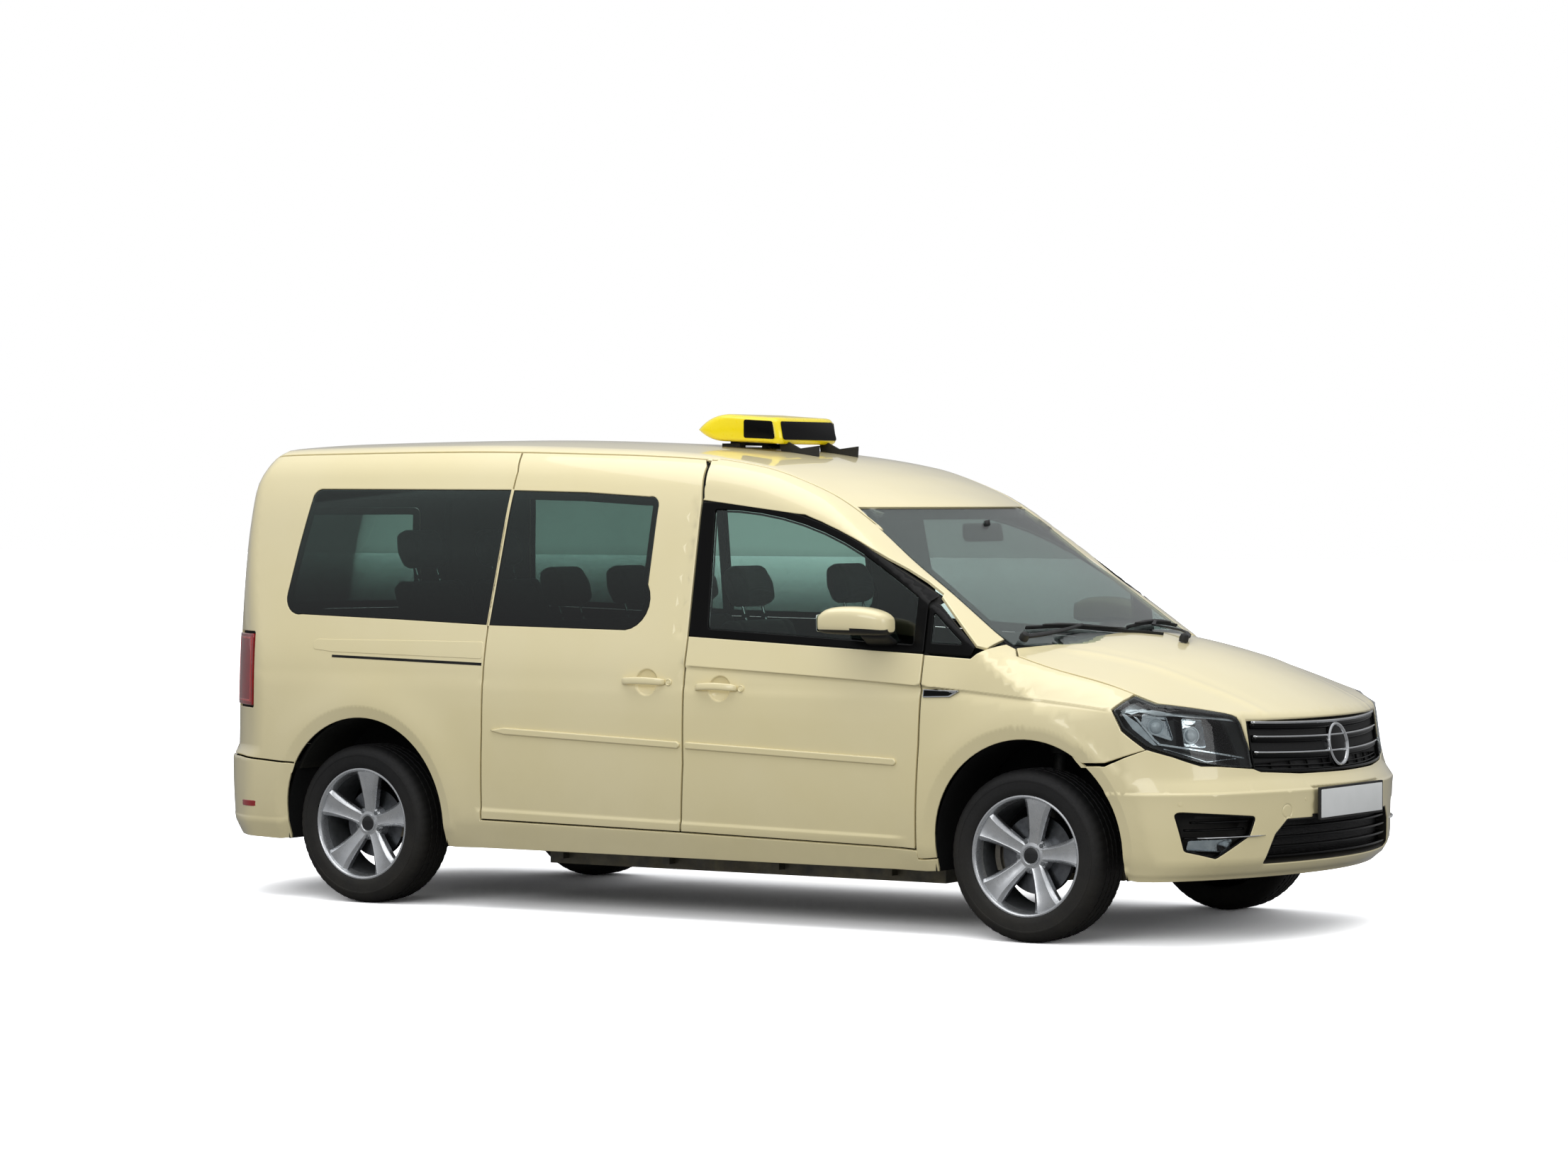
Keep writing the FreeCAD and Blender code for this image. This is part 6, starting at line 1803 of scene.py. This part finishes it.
for row, node, x, z, half, places, lean in ROWS:
    for side_name, y in places:
        for kind, master in pad_kinds.items():
            mesh = master.data.copy()
            p = points_of(mesh) * 1000
            if kind != "head":
                p[:, 1] *= half / HALF
            if kind != "cushion":
                p = leaned(p, lean)
            mesh.vertices.foreach_set("co", ((p + (x, y, z)) / 1000).ravel())
            mesh.materials.clear()
            mesh.materials.append(SEAT_CLOTH)
            mesh.update()
            pad = linked(f"seat_{kind}_{row}_{side_name}", mesh)
            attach(pad, "body")
            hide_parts(node)
        for k, offset in enumerate((-70, 70)):
            foot, top = leaned(np.array([[-8.0, offset, 590.0], [-8.0, offset, 672.0]]), lean) + (x, y, z)
            lathe(f"head_post_{row}_{side_name}_{k + 1}",
                  [(0, 0), (6, 0.5), (6, 12), (5.2, 13), (5.2, 22), (6, 23), (6, 80), (0, 81)], foot,
                  top - foot, [CHROME], "body", steps=16)
            lathe(f"head_collar_{row}_{side_name}_{k + 1}",
                  [(6.5, 22), (15, 23), (17, 28), (13, 36), (6.5, 38), (6.5, 22)], foot, top - foot,
                  [BLACK_TRIM], "body", steps=20)
        low = 548 if row == "rear" else 280
        frame_ring = rounded([(x - 15, low + 2), (x + 415, low + 2), (x + 395, z - 110),
                              (x + 10, z - 110)], 24)
        slab(f"seat_frame_{row}_{side_name}", frame_ring, lambda u, v, w, y=y: (u, y - 165 + w, v), 330,
             [BLACK_TRIM], "body", bevel=6)
for master in pad_kinds.values():
    bpy.data.objects.remove(master)


# ---- dash details -------------------------------------------------------------------------
def dash_point(u, v, w):
    """A place on the dash's face towards the cab: across, up it, and out of it."""
    return (835.0 + 0.38 * (v - 880) - w, u, v)


slab("centre_screen", rounded([(-95, 800), (95, 800), (95, 905), (-95, 905)], 12), dash_point, 12,
     [BLACK_GLOSS], "body", bevel=3)
slab("centre_controls", rounded([(-90, 700), (90, 700), (90, 782), (-90, 782)], 10), dash_point, 8,
     [DASH], "body", bevel=2)
for k, y in enumerate((-660, -145, 145, 660)):
    centre = np.array(dash_point(y, 870, -6))
    lathe(f"vent_ring_{k + 1}", [(30, 0), (44, 0), (46, 8), (42, 15), (36, 14), (31, 6), (30, 0)],
          centre, (-1, 0, 0.36), [SATIN], "body", steps=32)
    for j, rise_ in enumerate((-18, -6, 6, 18)):
        reach_ = math.sqrt(31 ** 2 - rise_ ** 2)
        path = [(centre[0] - 8 + 0.36 * rise_, y + t * reach_, centre[2] + rise_)
                for t in (-1, -0.5, 0, 0.5, 1)]
        tube(f"vent_blade_{k + 1}_{j + 1}", path, [(0, 0, 1)] * 5, round_profile(14, 2.5), BLACK_TRIM, "body")
slab("dial_glass", rounded([(250, 900), (494, 900), (494, 962), (250, 962)], 20),
     lambda u, v, w: (886.0 - w, u, v), 6, [BLACK_GLOSS], "body", bevel=2)
lathe("gear_gaiter",
      [(0, 0), (42, 0), (44, 6), (30, 22), (33, 30), (20, 44), (22, 52), (9, 66), (0, 66)],
      (700, 0, 560), (0, 0, 1), [LEATHER], "body", steps=32)
lathe("gear_lever", [(0, 60), (6, 60), (6, 92), (16, 98), (23, 116), (22, 136), (12, 150), (0, 153)],
      (700, 0, 560), (-0.12, 0, 1), [BLACK_GLOSS], "body", steps=28)


# ---- inside mirror, visors and wipers -----------------------------------------------------
mirror_ring = rounded([(-125, 1432), (125, 1432), (132, 1450), (124, 1502), (-124, 1502), (-132, 1450)], 16)
slab("inside_mirror", mirror_ring, lambda u, v, w: (868.0 + w - 0.15 * (v - 1470), u, v), 34,
     [BLACK_TRIM], "body", bevel=9)
slab("inside_mirror_face", inwards(mirror_ring, 8),
     lambda u, v, w: (865.5 + w - 0.15 * (v - 1470), u, v), 3, [CHROME], "body", bevel=1)
tube("inside_mirror_stem", [(893, 0, 1480), (905, 0, 1500), (902, 0, 1512)], [(0, 1, 0)] * 3,
     round_profile(22, 22), BLACK_TRIM, "body")
for tag, y in (("right", -372), ("left", 372)):
    slab(f"sun_visor_{tag}",
         rounded([(y - 190, 610), (y + 190, 610), (y + 190, 765), (y - 190, 765)], 26),
         lambda u, v, w: (v, u, 1596 - 0.42 * (v - 600) + w), 14, [HEADLINING], "body", bevel=6)


def on_screen(points, lift):
    """Points on the windscreen and its normals, from places (y, z) in front view."""
    return skin_at(SCREEN_CHART, points, lift)


for tag, pivot, tip, root in (("right", (-640, 1076), (-560, 1116), (-20, 1082)),
                              ("left", (-60, 1058), (30, 1104), (585, 1098))):
    span_ = np.linspace(0, 1, 14)
    line = np.array([(tip[0] + (root[0] - tip[0]) * t,
                      tip[1] + (root[1] - tip[1]) * t + 14 * math.sin(math.pi * t)) for t in span_])
    blade, outward = on_screen(line, 9.0)
    tube(f"wiper_blade_{tag}", blade, outward, round_profile(9, 13, 4), RUBBER, "body")
    spine, outward = on_screen(line[2:12], 19.0)
    tube(f"wiper_spine_{tag}", spine, outward, round_profile(12, 8, 3), BLACK_TRIM, "body",
         scale=[0.6, 0.8, 1, 1, 1, 1, 1, 1, 0.8, 0.6])
    middle_ = line[7]
    arm_line = np.array([(pivot[0] + (middle_[0] - pivot[0]) * t,
                          pivot[1] + (middle_[1] - pivot[1]) * t ** 1.4) for t in np.linspace(0, 1, 9)])
    arm, outward = on_screen(arm_line, 23.0)
    tube(f"wiper_arm_{tag}", arm, outward, round_profile(17, 9, 3), BLACK_TRIM, "body",
         scale=np.linspace(1.3, 0.7, 9))
    foot, up_ = on_screen([pivot], 8.0)
    lathe(f"wiper_pivot_{tag}", [(0, 0), (17, 0), (18, 14), (14, 27), (6, 31), (0, 31)], foot[0],
          up_[0], [BLACK_TRIM], "body", steps=24)

# each CAD node and the piece that takes its place; a left-hand twin comes with it
STAND_INS = {
    "front_door_right": "door_skin_right", "front_door_left": "door_skin_left",
    "sliding_doors": "sliding_door_skin_right", "rear_quarters": "rear_quarter_and_sill_right",
    "side_frames": "roof_rail_and_pillar_right", "roof": "roof_skin",
    "front_wings": "front_wing_right", "bonnet": "bonnet_skin", "tailgate": "tailgate_skin",
    "front_bumper": "front_bumper_skin", "rear_bumper": "rear_bumper_skin",
}
for node, piece in STAND_INS.items():
    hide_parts(node)


# ---- the room, the lights and the camera -------------------------------------------------
SKY_LOW, SKY_HIGH = 0.34, 0.78
FLOOR_LIT, FLOOR_SEEN = 0.26, 2.6
LIGHTS = (
    ("overhead", (0.4, -1.2, 5.2), (0.2, 0, 0), (7.0, 4.0), 135),
    ("side", (2.5, -9.5, 4.6), (0, 0, 0.9), (9.0, 3.0), 215),
    ("front", (9.5, -1.0, 3.2), (1.5, 0, 0.6), (4.0, 3.0), 80),
)


def lamp(name, place, aim, size, power):
    data = bpy.data.lights.new(name, "AREA")
    data.shape, data.size, data.size_y = "RECTANGLE", size[0], size[1]
    data.energy = power
    obj = linked(name, data)
    obj.location = place
    obj.rotation_euler = (Vector(aim) - Vector(place)).to_track_quat("-Z", "Y").to_euler()


world = bpy.data.worlds.new("studio")
world.use_nodes = True
bpy.context.scene.world = world
sky = world.node_tree
sky.nodes.clear()


def sky_node(kind, **values):
    node = sky.nodes.new(kind)
    for key, value in values.items():
        node.inputs[key].default_value = value
    return node


direction = sky.nodes.new("ShaderNodeTexCoord").outputs["Generated"]
split = sky_node("ShaderNodeSeparateXYZ")
sky.links.new(direction, split.inputs[0])
rise = sky_node("ShaderNodeMapRange",
                **{"From Min": -0.05, "From Max": 0.8, "To Min": SKY_LOW, "To Max": SKY_HIGH})
sky.links.new(split.outputs["Z"], rise.inputs["Value"])
lit = sky_node("ShaderNodeBackground", Color=(0.97, 0.98, 1.0, 1))
sky.links.new(rise.outputs["Result"], lit.inputs["Strength"])
seen = sky_node("ShaderNodeBackground", Color=(1, 1, 1, 1), Strength=1.0)
pick = sky_node("ShaderNodeMixShader")
path_ = sky.nodes.new("ShaderNodeLightPath")
sky.links.new(path_.outputs["Is Camera Ray"], pick.inputs[0])
sky.links.new(lit.outputs[0], pick.inputs[1])
sky.links.new(seen.outputs[0], pick.inputs[2])
out_ = sky_node("ShaderNodeOutputWorld")
sky.links.new(pick.outputs[0], out_.inputs["Surface"])

for light in LIGHTS:
    lamp(*light)

floor_mesh = bpy.data.meshes.new("floor")
floor_mesh.from_pydata([(-90, -90, 0), (90, -90, 0), (90, 90, 0), (-90, 90, 0)], [], [(0, 1, 2, 3)])
floor = linked("floor", floor_mesh)
pale = bpy.data.materials.new("pale_floor")
n = Nodes(pale)
dull = n.add("ShaderNodeBsdfDiffuse")
eye = n.add("ShaderNodeLightPath")
tone = n.mix(n.spread(n.noise(0.8), 0.0, 1.0), (FLOOR_LIT,) * 3, (FLOOR_LIT * 1.02,) * 3)
seen_tone = n.mix(n.spread(n.noise(0.8), 0.0, 1.0), (FLOOR_SEEN,) * 3, (FLOOR_SEEN * 1.02,) * 3)
n.link(n.mix(eye.outputs["Is Camera Ray"], tone, seen_tone), dull.inputs["Color"])
n.link(dull.outputs[0], n.out.inputs["Surface"])
floor_mesh.materials.append(pale)

camera_data = bpy.data.cameras.new("photo_view")
camera_data.lens, camera_data.sensor_width, camera_data.clip_end = 103.36, 36.0, 200.0
camera = linked("photo_view", camera_data)
camera.location = (9.4975, -14.9281, 1.5958)
camera.rotation_euler = (math.radians(88.8685), 0.0, math.radians(32.5117))
bpy.context.scene.camera = camera
bpy.context.scene.view_settings.view_transform = "Standard"
